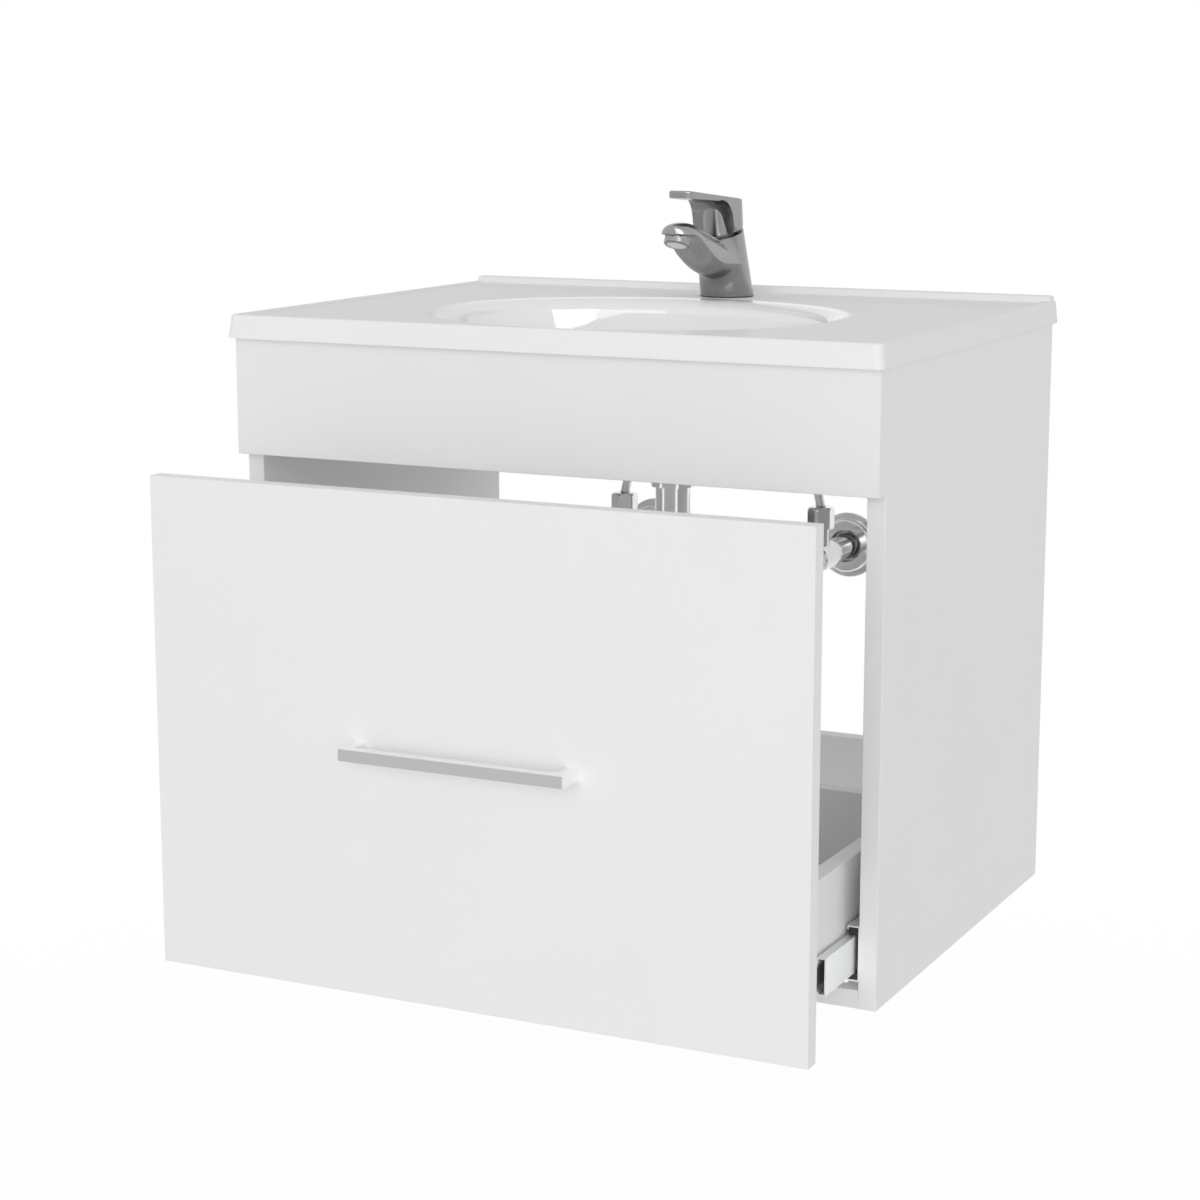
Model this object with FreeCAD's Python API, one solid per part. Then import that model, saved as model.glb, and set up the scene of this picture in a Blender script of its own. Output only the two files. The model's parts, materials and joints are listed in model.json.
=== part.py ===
"""Wall-hung vanity unit: carcass, drawer on telescopic slides, basin top, mixer tap, waste and supply.

Millimetres. X runs to the right, Y towards the wall, Z up. Pieces are modelled with the wall at
y = 0 and the bottom of the side panels at z = 0. On writing, they are lowered so that the origin
is midway between the two wall screws. The drawer stands open at rest.
"""
import FreeCAD, Part
import math
import os

Vector = FreeCAD.Vector

# Driving sizes of the carcass
unit_width = 570.0
unit_depth = 418.0
carcass_height = 504.5
board = 15.0
apron_height = 97.5
rail_height = 100.0
lower_rail_lift = 12.0
batten = 15.0
board_edge_radius = 0.8
wall_screw_spacing = 400.0
wall_screw_radius = 4.0

# Corner brackets behind the apron
bracket_leg = 22.0
bracket_length = 34.0
bracket_plate = 2.5
bracket_screw_inset = 13.0

# Eccentric fittings
cam_radius = 7.5
cam_depth = 12.5
cam_setback = 24.0
cam_slot_width = 1.6
cam_slot_depth = 2.0

# Pan head screws of the slides and brackets
screw_radius = 1.75
screw_length = 11.0
screw_head_radius = 3.3
screw_head_height = 1.0
screw_recess_width = 0.8

# Basin top
top_overhang_side = 4.2
top_overhang_front = 24.0
skirt_height = 19.5
skirt_flare = 2.2
skirt_wall = 12.0
deck_thickness = 9.0
deck_drop = 1.5
rim_width = 6.0
top_corner_radius = 7.0
top_edge_radius = 2.5
upstand_height = 4.5
upstand_thickness = 12.0
bowl_half_width = 171.0
bowl_half_reach = 142.0
bowl_wall_distance = 268.0
bowl_depth = 118.0
bowl_shell = 8.0
bowl_lip_radius = 13.0
bowl_depth_shares = (0.0, 0.30, 0.60, 0.86, 1.0)
bowl_size_shares = (1.0, 0.955, 0.85, 0.62, 0.31)
bowl_drift_shares = (0.0, 0.05, 0.22, 0.60, 1.0)

# Waste
drain_wall_distance = 179.0
drain_hole_radius = 22.5
drain_flange_radius = 32.0
drain_flange_height = 2.5
drain_tail_radius = 20.0
drain_tail_length = 40.0
drain_nut_radius = 31.0
drain_nut_height = 11.0
drain_nut_sides = 8
drain_gasket_height = 3.0
stopper_radius = 28.0
stopper_height = 4.0
stopper_stem_radius = 4.0
stopper_stem_length = 26.0
spider_height = 5.0
spider_bar = 9.0
spider_drop = 9.0
pipe_radius = 16.0
pipe_wall = 1.5
tailpipe_overlap = 18.0
tailpipe_dip = 70.0
trap_over_drawer = 30.0
trap_radius = 27.0
trap_wall = 3.0
trap_height = 74.0
trap_cup_height = 42.0
trap_cup_overlap = 12.0
trap_cup_ribs = 12
trap_stub_length = 14.0
trap_nut_radius = 23.0
trap_nut_height = 18.0
trap_nut_sides = 8
trap_arm_drop = 26.0
trap_arm_through_wall = 30.0
trap_spigot_radius = 15.75
rosette_radius = 35.0
rosette_depth = 8.0
rosette_rim = 2.0

# Mixer tap
tap_wall_distance = 65.0
tap_hole_radius = 17.5
tap_base_radius = 24.0
tap_neck_radius = 21.4
tap_lean = 17.0
tap_split = 60.0
tap_gasket = 1.2
tap_blend_radius = 15.0
spout_reach = 106.0
spout_nose = 15.0
spout_root_reach = 6.0
spout_root_half_width = 21.0
spout_tip_half_width = 15.0
spout_root_ridge = 41.0
spout_tip_ridge = 69.6
spout_root_crease = 23.0
spout_tip_crease = 59.5
spout_root_belly = 0.0
spout_tip_belly = 57.5
spout_nose_level = 64.0
spout_reach_shares = (0.0, 0.30, 0.66, 1.0)
spout_width_shares = (0.0, 0.18, 0.52, 1.0)
spout_ridge_shares = (0.0, 0.40, 0.81, 1.0)
spout_crease_shares = (0.0, 0.21, 0.49, 1.0)
spout_belly_shares = (0.0, 0.31, 0.59, 1.0)
spout_nose_shares = (0.5, 0.82, 0.97)
spout_dome_points = 9
aerator_radius = 11.2
aerator_length = 13.2
aerator_tilt = 22.0
aerator_mouth_radius = 9.0
aerator_mouth_depth = 1.4
aerator_edge = 1.2
aerator_level = 62.0
aerator_notches = 10
aerator_notch_radius = 1.0
aerator_notch_lift = 4.0
cartridge_radius = 16.0
cartridge_seat = 24.0
cartridge_top = 60.0
carrier_height = 4.0
carrier_radius = 13.0
lug_half_width = 5.0
lug_half_depth = 2.3
lug_setback = 12.4
lever_gap = 1.8
lever_room = 1.6
lever_pivot_rise = 8.0
lever_pin_radius = 1.5
lever_pin_half_length = 14.0
lever_neck_radius = 16.6
lever_bore_radius = 14.2
lever_bore_depth = 12.0
lever_bore_back = 4.0
lever_edge_chamfer = 1.8
lever_top_edge = 1.5
lever_crown_reach = 23.5
lever_rear_height = 85.4
lever_tip_height = 97.2
lever_tip_reach = 107.0
lever_tip_thickness = 6.6
lever_tip_half_width = 11.5
lever_tip_radius = 6.0
lever_web_reach = 58.0
lever_web_thickness = 5.0
lever_web_drop = 13.0
lever_band_reach = 34.0
lever_flare_radius = 23.4
lever_flare_height = 12.0
stud_radius = 4.0
stud_length = 78.0
stud_seat = 14.0
stud_forward = 9.0
washer_radius = 24.0
washer_thickness = 3.0
washer_notch_half_width = 14.0
tap_nut_radius = 7.5
tap_nut_height = 8.0
tap_nut_sides = 6

# Supply valves and hoses
valve_spacing = 196.0
valve_height = 292.0
valve_body_radius = 11.0
valve_neck_radius = 9.5
valve_chest_radius = 13.0
valve_chest_half_length = 14.0
valve_chest_edge = 3.0
valve_branch_distance = 74.0
valve_branch_radius = 8.0
valve_branch_top = 328.0
valve_front_distance = 92.0
valve_stem_radius = 5.0
valve_stem_length = 14.0
valve_inlet_radius = 10.48
valve_inlet_length = 12.0
valve_rosette_radius = 30.5
valve_rosette_front_radius = 27.5
valve_rosette_plate = 4.5
valve_rosette_groove = 3.0
valve_knob_radius = 15.0
valve_knob_length = 24.0
valve_knob_edge = 1.4
valve_knob_flute_radius = 2.2
valve_knob_flutes = 10
hose_nut_radius = 12.4
hose_nut_height = 20.0
hose_nut_collar = 5.0
hose_nut_grip = 10.0
hose_nut_sides = 6
hose_radius = 4.2
hose_tip_radius = 5.2
hose_tip_length = 40.0
hose_tip_seat = 12.0
hose_spread = 8.5
hose_back = 4.0
hose_run_share = 0.45
hose_route = ((98.0, -74.0, 336.0), (93.0, -74.0, 360.0), (82.0, -72.0, 385.0), (65.0, -69.0, 407.0),
              (45.0, -66.0, 425.0), (26.0, -63.0, 444.0), (13.0, -62.0, 471.0), (8.5, -61.0, 497.7))

# Drawer
drawer_opening = 127.0
drawer_front_height = 404.5
drawer_front_lift = 0.5
drawer_box_lift = 32.5
drawer_box_height = 85.0
drawer_box_depth = 342.0
slide_gap = 13.0
drawer_floor = 3.0
floor_groove = 6.0
floor_lift = 15.0
drawer_cam_lift = 62.0

# Bar handle
handle_length = 194.5
handle_bar = 9.5
handle_reach = 28.0
handle_edge_radius = 0.7
handle_height = 202.5
handle_screw_radius = 2.0
handle_screw_grip = 12.0
handle_screw_head_radius = 4.2
handle_screw_head_height = 2.4

# Telescopic slides
slide_length = 340.0
slide_height = 45.0
slide_lift = 21.5
slide_sheet = 1.2
slide_lip = 3.4
slide_flange = 10.4
middle_height = 30.0
middle_gap = 2.0
middle_flange = 7.2
inner_height = 22.0
inner_flange = 4.6
inner_lip = 2.2
bumper_length = 14.0
slide_setback = 2.0
slide_screw_shares = (0.10, 0.52, 0.92)

# Clearances and one overrun for all cuts
seat_clearance = 0.1
running_clearance = 0.05
body_clearance = 0.4
overrun = 5.0

# Levels and places worked out from the sizes above
half_width = unit_width / 2
inner_half = half_width - board
front_face = -unit_depth
rim_level = carcass_height + skirt_height
deck_level = rim_level - deck_drop
hang_height = carcass_height - rail_height / 2
drain_y = -drain_wall_distance
tap_y = -tap_wall_distance
bowl_floor = deck_level - bowl_depth
drain_tail_foot = bowl_floor - drain_tail_length
trap_foot = drawer_box_lift + drawer_box_height + trap_over_drawer
trap_top = trap_foot + trap_cup_height - trap_cup_overlap + trap_height
drawer_back_face = front_face - drawer_opening
drawer_front_face = drawer_back_face - board
box_half = inner_half - slide_gap
slide_middle_height = slide_lift + slide_height / 2
drawer_slide_length = drawer_box_depth - slide_setback
lean = math.radians(tap_lean)
tap_axis = Vector(0, -math.sin(lean), math.cos(lean))
tap_forward = Vector(0, -math.cos(lean), -math.sin(lean))
tap_base = Vector(0, tap_y, deck_level + tap_gasket)
up = Vector(0, 0, 1)
across = Vector(1, 0, 0)
to_wall = Vector(0, 1, 0)
sides = (("left", -1), ("right", 1))


def box(x, y, z):
    """A block between the low and high ends of x, y and z."""
    return Part.makeBox(x[1] - x[0], y[1] - y[0], z[1] - z[0], Vector(x[0], y[0], z[0]))


def mirrored(x_near, x_far, side):
    """The ends of a stretch of x, on the right for side 1 and on the left for side -1."""
    return tuple(sorted((side * x_near, side * x_far)))


def rod(radius, start, end):
    """A round bar from one point to another."""
    return Part.makeCylinder(radius, (end - start).Length, start, end - start)


def tube(radius, wall, start, end):
    """A round tube from one point to another."""
    way = end - start
    way.normalize()
    bore = rod(radius - wall, start - way * overrun, end + way * overrun)
    return rod(radius, start, end).cut(bore)


def prism(radius, count, start, end):
    """A bar with a regular many-sided section, its corners on a circle of the radius."""
    way = end - start
    turns = [2 * math.pi * i / count for i in range(count)]
    corners = [Vector(radius * math.cos(turn), radius * math.sin(turn), 0) for turn in turns]
    bar = Part.Face(Part.makePolygon(corners + corners[:1])).extrude(up * way.Length)
    bar.Placement = FreeCAD.Placement(start, FreeCAD.Rotation(up, way))
    return bar


def turned(outline, foot, way):
    """A solid turned from an outline of (radius, height) points about the line from foot along way."""
    points = [Vector(r, 0, h) for r, h in outline]
    solid = Part.Face(Part.makePolygon(points + points[:1])).revolve(Vector(0, 0, 0), up, 360)
    solid.Placement = FreeCAD.Placement(foot, FreeCAD.Rotation(up, way))
    return solid


def profile_along_y(points, y0, y1):
    """A closed outline of (x, z) points carried from y0 to y1."""
    corners = [Vector(x, y0, z) for x, z in points]
    return Part.Face(Part.makePolygon(corners + corners[:1])).extrude(to_wall * (y1 - y0))


def ellipse(centre, along, half_along, half_across, normal):
    """A closed ellipse with its first half axis in the direction of along."""
    curve = Part.Ellipse(Vector(0, 0, 0), max(half_along, half_across), min(half_along, half_across))
    wire = Part.Wire(curve.toShape())
    second = normal.cross(along)
    x_axis, y_axis = (along, second) if half_along >= half_across else (second, along * -1)
    wire.Placement = FreeCAD.Placement(centre, FreeCAD.Rotation(x_axis, y_axis, normal, "XYZ"))
    return wire


def softened(shape, radius, wanted):
    """The shape with the edges that pass the test rounded."""
    return shape.makeFillet(radius, [edge for edge in shape.Edges if wanted(edge)])


def lies_on(edge, shape):
    """True where the middle of an edge lies on the skin of a shape."""
    middle = Part.Vertex(edge.valueAt((edge.FirstParameter + edge.LastParameter) / 2))
    return min(face.distToShape(middle)[0] for face in shape.Faces) < seat_clearance


def is_along(edge, way):
    """True for a straight edge in the direction of way."""
    if not isinstance(edge.Curve, (Part.Line, Part.LineSegment)):
        return False
    return abs(abs(edge.tangentAt(edge.FirstParameter).dot(way)) - 1) < 1e-6


def screw(seat, way):
    """A pan head screw whose head sits on seat and whose shank goes in the direction of way."""
    shank = rod(screw_radius, seat, seat + way * screw_length)
    head = rod(screw_head_radius, seat - way * screw_head_height, seat)
    side = way.cross(up) if abs(way.dot(up)) < 0.5 else across
    cross = None
    for direction in (side, way.cross(side)):
        half = direction * (screw_head_radius / 2)
        bar = rod(screw_recess_width / 2, seat - way * screw_head_height - half,
                  seat - way * screw_head_height + half)
        cross = bar if cross is None else cross.fuse(bar)
    return head.fuse(shank).removeSplitter().cut(cross)


def screw_hole(seat, way):
    """The hole that a screw at this seat needs in the board behind it."""
    end = seat + way * (screw_length + seat_clearance)
    return rod(screw_radius + seat_clearance, seat - way * overrun, end)


def cam(seat, way):
    """An eccentric fitting that fills its bore from the mouth at seat, with a slot across its face."""
    disc = rod(cam_radius - seat_clearance, seat, seat + way * (cam_depth - seat_clearance))
    span = up if abs(way.dot(up)) < 0.5 else across
    wide = way.cross(span)
    corner = seat - way * overrun - span * cam_radius - wide * (cam_slot_width / 2)
    far = corner + span * (2 * cam_radius)
    outline = [corner, far, far + wide * cam_slot_width, corner + wide * cam_slot_width]
    slot = Part.Face(Part.makePolygon(outline + outline[:1])).extrude(way * (overrun + cam_slot_depth))
    return disc.cut(slot)


def cam_bore(seat, way):
    """The bore that an eccentric fitting sits in."""
    return rod(cam_radius, seat - way * overrun, seat + way * cam_depth)


# Places that two or more pieces share
def rail_cam_seats():
    """Mouths of the bores in the front faces of the two rear rails."""
    x = inner_half - cam_setback
    levels = (carcass_height - rail_height / 2, lower_rail_lift + rail_height / 2)
    return [Vector(side * x, -board, z) for _, side in sides for z in levels]


def drawer_cam_seats(side):
    """Mouths of the bores on the inner face of one drawer side, near the drawer front."""
    return [Vector(side * (box_half - board), drawer_back_face + cam_setback, drawer_cam_lift)]


def bracket_screw_seats(side):
    """Seats of the two screws of one corner bracket, with their directions."""
    level = carcass_height - apron_height / 2
    in_apron = Vector(side * (inner_half - bracket_screw_inset), front_face + bracket_plate, level)
    in_panel = Vector(side * (inner_half - bracket_plate), front_face + bracket_screw_inset, level)
    return [(in_apron, to_wall * -1), (in_panel, across * side)]


def slide_screw_seats(side, face, front, length, way):
    """Seats of the screws of one slide member: face is the x of the sheet that they sit on."""
    return [(Vector(side * face, front + share * length, slide_middle_height), across * way)
            for share in slide_screw_shares]


def outer_screw_seats(side):
    """Screws of the cabinet member, driven outwards into the side panel."""
    return slide_screw_seats(side, inner_half - slide_sheet, front_face + slide_setback, slide_length, side)


def inner_screw_seats(side):
    """Screws of the drawer member, driven inwards into the drawer side."""
    return slide_screw_seats(side, box_half + slide_sheet, drawer_back_face + slide_setback,
                             drawer_slide_length, -side)


def handle_screw_places():
    """The points on the rear face of the drawer front where the two handle screws enter."""
    x = handle_length / 2 - handle_bar / 2
    return [Vector(side * x, drawer_back_face, handle_height) for _, side in sides]


def tap_point(axial, forward=0.0):
    """A point on the leaning axis of the tap, or so far in front of it."""
    return tap_base + tap_axis * axial + tap_forward * forward


def beside_tap(reach, height):
    """A point in the middle plane of the tap, so far in front of its foot and so high above it."""
    return tap_base + Vector(0, -reach, height)


def between(low, high, shares):
    """The sizes at some shares of the way from one size to another."""
    return [low + (high - low) * share for share in shares]


# Carcass
def board_block(x, y, z, along):
    """A board with its four long edges in one direction slightly rounded."""
    return softened(box(x, y, z), board_edge_radius, lambda edge: is_along(edge, along))


def side_panel(side):
    panel = board_block(mirrored(inner_half, half_width, side), (front_face, 0), (0, carcass_height), up)
    for seat, way in outer_screw_seats(side) + bracket_screw_seats(side)[1:]:
        panel = panel.cut(screw_hole(seat, way))
    return panel


def apron_panel():
    panel = board_block((-half_width, half_width), (front_face - board, front_face),
                        (carcass_height - apron_height, carcass_height), across)
    for _, side in sides:
        panel = panel.cut(screw_hole(*bracket_screw_seats(side)[0]))
    return panel


def rear_rail(bottom):
    """A board between the side panels at the wall, with the bores of its eccentric fittings."""
    rail = box((-inner_half, inner_half), (-board, 0), (bottom, bottom + rail_height))
    for seat in rail_cam_seats():
        if bottom < seat.z < bottom + rail_height:
            rail = rail.cut(cam_bore(seat, to_wall))
    return rail


def hanging_rail():
    rail = rear_rail(carcass_height - rail_height)
    for _, side in sides:
        x = side * wall_screw_spacing / 2
        rail = rail.cut(rod(wall_screw_radius, Vector(x, -board - overrun, hang_height),
                            Vector(x, overrun, hang_height)))
    return rail


def front_rail():
    return board_block((-inner_half, inner_half), (front_face, front_face + batten), (0, batten), across)


def side_cleats():
    return [box(mirrored(inner_half - batten, inner_half, side), (front_face + batten, -board), (0, batten))
            for _, side in sides]


def apron_brackets():
    brackets = []
    for _, side in sides:
        level = carcass_height - apron_height / 2
        z = (level - bracket_length / 2, level + bracket_length / 2)
        on_apron = box(mirrored(inner_half - bracket_leg, inner_half, side),
                       (front_face, front_face + bracket_plate), z)
        on_panel = box(mirrored(inner_half - bracket_plate, inner_half, side),
                       (front_face, front_face + bracket_leg), z)
        bracket = on_apron.fuse(on_panel).removeSplitter()
        for seat, way in bracket_screw_seats(side):
            bracket = bracket.cut(screw_hole(seat, way))
        brackets.append(bracket)
    return brackets


# Telescopic slides: three nested channels, each a bent sheet
def channel(side, web, mouth, height, lip, front, length):
    """A C-shaped sheet channel from the x of its web's back to the x of its mouth, lips turned in."""
    middle = slide_middle_height
    low, high = middle - height / 2, middle + height / 2
    turn = 1 if mouth > web else -1
    skin = turn * slide_sheet
    points = [(web, low), (mouth, low), (mouth, low + lip), (mouth - skin, low + lip),
              (mouth - skin, low + slide_sheet), (web + skin, low + slide_sheet),
              (web + skin, high - slide_sheet), (mouth - skin, high - slide_sheet),
              (mouth - skin, high - lip), (mouth, high - lip), (mouth, high), (web, high)]
    return profile_along_y([(side * x, z) for x, z in points], front, front + length)


def slide_outer(side):
    member = channel(side, inner_half, inner_half - slide_flange, slide_height, slide_lip,
                     front_face + slide_setback, slide_length)
    for seat, way in outer_screw_seats(side):
        member = member.cut(screw_hole(seat, way))
    return member


def slide_middle(side):
    web = inner_half - slide_sheet - middle_gap
    front = front_face + slide_setback - drawer_opening / 2
    return channel(side, web, web - middle_flange, middle_height, slide_lip, front, slide_length)


def slide_inner(side):
    member = channel(side, box_half, box_half + inner_flange, inner_height, inner_lip,
                     drawer_back_face + slide_setback, drawer_slide_length)
    for seat, way in inner_screw_seats(side):
        member = member.cut(screw_hole(seat, way))
    return member


def slide_bumpers():
    """Plastic end pieces in the cabinet members, which the middle members run between."""
    pieces = []
    front = front_face + slide_setback
    low = slide_lift + slide_sheet
    high = slide_lift + slide_height - slide_sheet
    height = (slide_height - middle_height) / 2 - slide_sheet - body_clearance
    for _, side in sides:
        x = mirrored(inner_half - slide_flange + slide_sheet, inner_half - slide_sheet, side)
        for z in ((low, low + height), (high - height, high)):
            pieces.append(box(x, (front, front + bumper_length), z))
    return pieces


# Basin top
def top_outline(half, front, level):
    """The rounded outline of the basin top at one level, square at the wall."""
    r = top_corner_radius
    nook = r * (1 - math.sqrt(0.5))
    left = Part.Arc(Vector(-half, front + r, level), Vector(-half + nook, front + nook, level),
                    Vector(-half + r, front, level))
    right = Part.Arc(Vector(half - r, front, level), Vector(half - nook, front + nook, level),
                     Vector(half, front + r, level))
    lines = [Part.LineSegment(Vector(-half, 0, level), Vector(-half, front + r, level)), left,
             Part.LineSegment(Vector(-half + r, front, level), Vector(half - r, front, level)), right,
             Part.LineSegment(Vector(half, front + r, level), Vector(half, 0, level)),
             Part.LineSegment(Vector(half, 0, level), Vector(-half, 0, level))]
    return Part.Wire([line.toShape() for line in lines])


def bowl_form(grow):
    """The bowl's hollow, or with grow the outside of its shell: ellipses that shrink towards the waste."""
    rings = []
    for depth, size, drift in zip(bowl_depth_shares, bowl_size_shares, bowl_drift_shares):
        y = -bowl_wall_distance + (bowl_wall_distance - drain_wall_distance) * drift
        centre = Vector(0, y, deck_level - depth * (bowl_depth + grow))
        rings.append(ellipse(centre, across, bowl_half_width * size + grow,
                             bowl_half_reach * size + grow, up))
    return Part.makeLoft(rings, True, False)


def basin_top():
    foot_half = half_width + top_overhang_side
    foot_front = front_face - top_overhang_front
    rim_half = foot_half - skirt_flare
    rim_front = foot_front + skirt_flare
    slab = Part.makeLoft([top_outline(foot_half, foot_front, carcass_height),
                          top_outline(rim_half, rim_front, rim_level)], True, True)
    slab = softened(slab, top_edge_radius,
                    lambda edge: all(abs(v.Z - rim_level) < seat_clearance for v in edge.Vertexes)
                    and not all(abs(v.Y) < seat_clearance for v in edge.Vertexes))
    deck = box((-rim_half + rim_width, rim_half - rim_width), (rim_front + rim_width, -upstand_thickness),
               (deck_level, rim_level + overrun))
    deck = softened(deck, top_corner_radius, lambda edge: is_along(edge, up))
    crest = rim_level + upstand_height
    upstand = box((-rim_half + deck_drop, rim_half - deck_drop), (-upstand_thickness, 0), (deck_level, crest))
    upstand = softened(upstand, top_edge_radius,
                       lambda edge: all(abs(v.Z - crest) < seat_clearance for v in edge.Vertexes))
    hollow = box((-foot_half + skirt_wall, foot_half - skirt_wall), (foot_front + skirt_wall, -skirt_wall),
                 (carcass_height - overrun, deck_level - deck_thickness))
    below = box((-half_width, half_width), (front_face, 0), (0, deck_level - deck_thickness / 2))
    shell = bowl_form(bowl_shell).common(below)
    top = slab.cut(deck).cut(hollow).fuse([upstand, shell]).removeSplitter()
    top = top.cut(bowl_form(0.0))
    top = softened(top, bowl_lip_radius, lambda edge: len(edge.Vertexes) == 1
                   and abs(edge.Vertexes[0].Z - deck_level) < seat_clearance)
    foot = bowl_floor - bowl_shell - overrun
    top = top.cut(rod(drain_hole_radius, Vector(0, drain_y, foot), Vector(0, drain_y, deck_level)))
    tap_hole = rod(tap_hole_radius, Vector(0, tap_y, carcass_height), Vector(0, tap_y, rim_level + overrun))
    return top.cut(tap_hole)


# Waste
def on_drain(level):
    """A point on the axis of the waste."""
    return Vector(0, drain_y, level)


def drain_flange():
    """Flange and tail in one piece, with a crossbar that guides the stem of the stopper."""
    bore = pipe_radius + seat_clearance
    top = bowl_floor + drain_flange_height
    flange = rod(drain_flange_radius, on_drain(bowl_floor), on_drain(top))
    flange = softened(flange, drain_flange_height / 2, lambda edge: len(edge.Vertexes) == 1
                      and abs(edge.BoundBox.ZMin - top) < seat_clearance)
    tail = rod(drain_tail_radius, on_drain(drain_tail_foot), on_drain(bowl_floor))
    shell = flange.fuse(tail).removeSplitter()
    shell = shell.cut(rod(bore, on_drain(drain_tail_foot - overrun), on_drain(rim_level)))
    bar_top = spider_level()
    bar = box((-drain_tail_radius, drain_tail_radius), (drain_y - spider_bar / 2, drain_y + spider_bar / 2),
              (bar_top - spider_height, bar_top))
    bar = bar.common(rod(drain_tail_radius, on_drain(drain_tail_foot), on_drain(bowl_floor)))
    guide = rod(stopper_stem_radius + running_clearance, on_drain(bar_top - spider_height - overrun),
                on_drain(rim_level))
    return shell.fuse(bar).removeSplitter().cut(guide)


def spider_level():
    """The top of the crossbar in the drain's tail."""
    return bowl_floor - spider_drop


def drain_stopper():
    foot = bowl_floor + drain_flange_height + body_clearance
    cap = turned([(0, 0), (stopper_radius, 0), (stopper_radius, stopper_height / 2),
                  (stopper_radius - stopper_height, stopper_height), (0, stopper_height)], on_drain(foot), up)
    stem = rod(stopper_stem_radius, on_drain(foot - stopper_stem_length), on_drain(foot))
    return cap.fuse(stem).removeSplitter()


def drain_gasket():
    top = bowl_floor - bowl_shell
    return tube(drain_nut_radius, drain_nut_radius - drain_tail_radius - seat_clearance,
                on_drain(top - drain_gasket_height), on_drain(top))


def drain_nut():
    top = bowl_floor - bowl_shell - drain_gasket_height
    nut = prism(drain_nut_radius, drain_nut_sides, on_drain(top - drain_nut_height), on_drain(top))
    hole = drain_tail_radius + seat_clearance
    return nut.cut(rod(hole, on_drain(top - drain_nut_height - overrun), on_drain(top + overrun)))


def tailpipe():
    top = drain_tail_foot + tailpipe_overlap
    return tube(pipe_radius, pipe_wall, on_drain(trap_top - tailpipe_dip), on_drain(top))


def trap_nuts():
    """The two like nuts that clamp the tailpipe and the pipe to the wall in the trap."""
    nuts = []
    for seat, way in ((on_drain(trap_top), up), (on_arm(trap_stub_end()), to_wall)):
        end = seat + way * trap_nut_height
        hole = rod(pipe_radius + seat_clearance, seat - way * overrun, end + way * overrun)
        nuts.append(prism(trap_nut_radius, trap_nut_sides, seat, end).cut(hole))
    return nuts


def arm_level():
    """The level of the waste pipe that goes to the wall."""
    return trap_top - trap_arm_drop


def on_arm(y):
    """A point on the axis of the waste pipe that goes to the wall."""
    return Vector(0, y, arm_level())


def trap_stub_end():
    """Where the side outlet of the trap ends."""
    return drain_y + trap_radius + trap_stub_length


def trap_body():
    foot = trap_top - trap_height
    barrel = rod(trap_radius, on_drain(foot), on_drain(trap_top))
    barrel = softened(barrel, trap_wall, lambda edge: abs(edge.BoundBox.ZMin - trap_top) < seat_clearance)
    stub = rod(pipe_radius + trap_wall, on_arm(drain_y), on_arm(trap_stub_end()))
    barrel = barrel.fuse(stub).removeSplitter()
    hole = pipe_radius + seat_clearance
    barrel = barrel.cut(rod(trap_radius - trap_wall, on_drain(foot - overrun),
                            on_drain(trap_top - trap_wall)))
    barrel = barrel.cut(rod(hole, on_drain(foot), on_drain(trap_top + overrun)))
    return barrel.cut(rod(hole, on_arm(drain_y + pipe_radius), on_arm(trap_stub_end() + overrun)))


def trap_cup():
    """The screwed cup under the trap, opened to clean it."""
    top = trap_foot + trap_cup_height
    outer = trap_radius + trap_wall
    cup = turned([(0, 0), (outer - 2 * trap_wall, 0), (outer, 2 * trap_wall), (outer, trap_cup_height),
                  (trap_radius + seat_clearance, trap_cup_height),
                  (trap_radius + seat_clearance, trap_cup_height - trap_cup_overlap),
                  (trap_radius - trap_wall, trap_cup_height - trap_cup_overlap),
                  (trap_radius - trap_wall, 2 * trap_wall), (trap_radius - 2 * trap_wall, trap_wall),
                  (0, trap_wall)], on_drain(trap_foot), up)
    for i in range(trap_cup_ribs):
        angle = 2 * math.pi * i / trap_cup_ribs
        spoke = Vector(outer * math.cos(angle), drain_y + outer * math.sin(angle), 0)
        groove_foot = spoke + up * (trap_foot + 2 * trap_wall)
        cup = cup.cut(rod(trap_wall / 2, groove_foot, spoke + up * (top + overrun)))
    return cup


def trap_arm():
    """The pipe to the wall, drawn down a little where it enters the wall."""
    pipe = rod(pipe_radius, on_arm(drain_y + trap_radius), on_arm(0))
    spigot = rod(trap_spigot_radius, on_arm(0), on_arm(trap_arm_through_wall))
    bore = rod(pipe_radius - pipe_wall, on_arm(drain_y), on_arm(trap_arm_through_wall + overrun))
    return pipe.fuse(spigot).cut(bore)


def waste_rosette():
    hole = pipe_radius + seat_clearance
    return turned([(hole, 0), (rosette_radius, 0), (rosette_radius, rosette_rim),
                   (hole + rosette_rim, rosette_depth), (hole, rosette_depth)], on_arm(0), to_wall * -1)


# Mixer tap
def ring_on_tap(axial, radius, normal):
    """A circle about the leaning axis of the tap."""
    return ellipse(tap_point(axial), across, radius, radius, normal)


def spout_section(reach, half_width, ridge, crease, belly):
    """A section across the spout: a dome from crease to crease over a flat arc."""
    turns = [math.pi * i / (spout_dome_points - 1) for i in range(spout_dome_points)]
    middle = beside_tap(reach, crease)
    dome = [middle + across * (half_width * math.cos(turn)) + up * ((ridge - crease) * math.sin(turn))
            for turn in turns]
    crown = Part.BSplineCurve()
    crown.interpolate(dome)
    sole = Part.Arc(dome[-1], beside_tap(reach, belly), dome[0])
    return Part.Wire([crown.toShape(), sole.toShape()])


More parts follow.
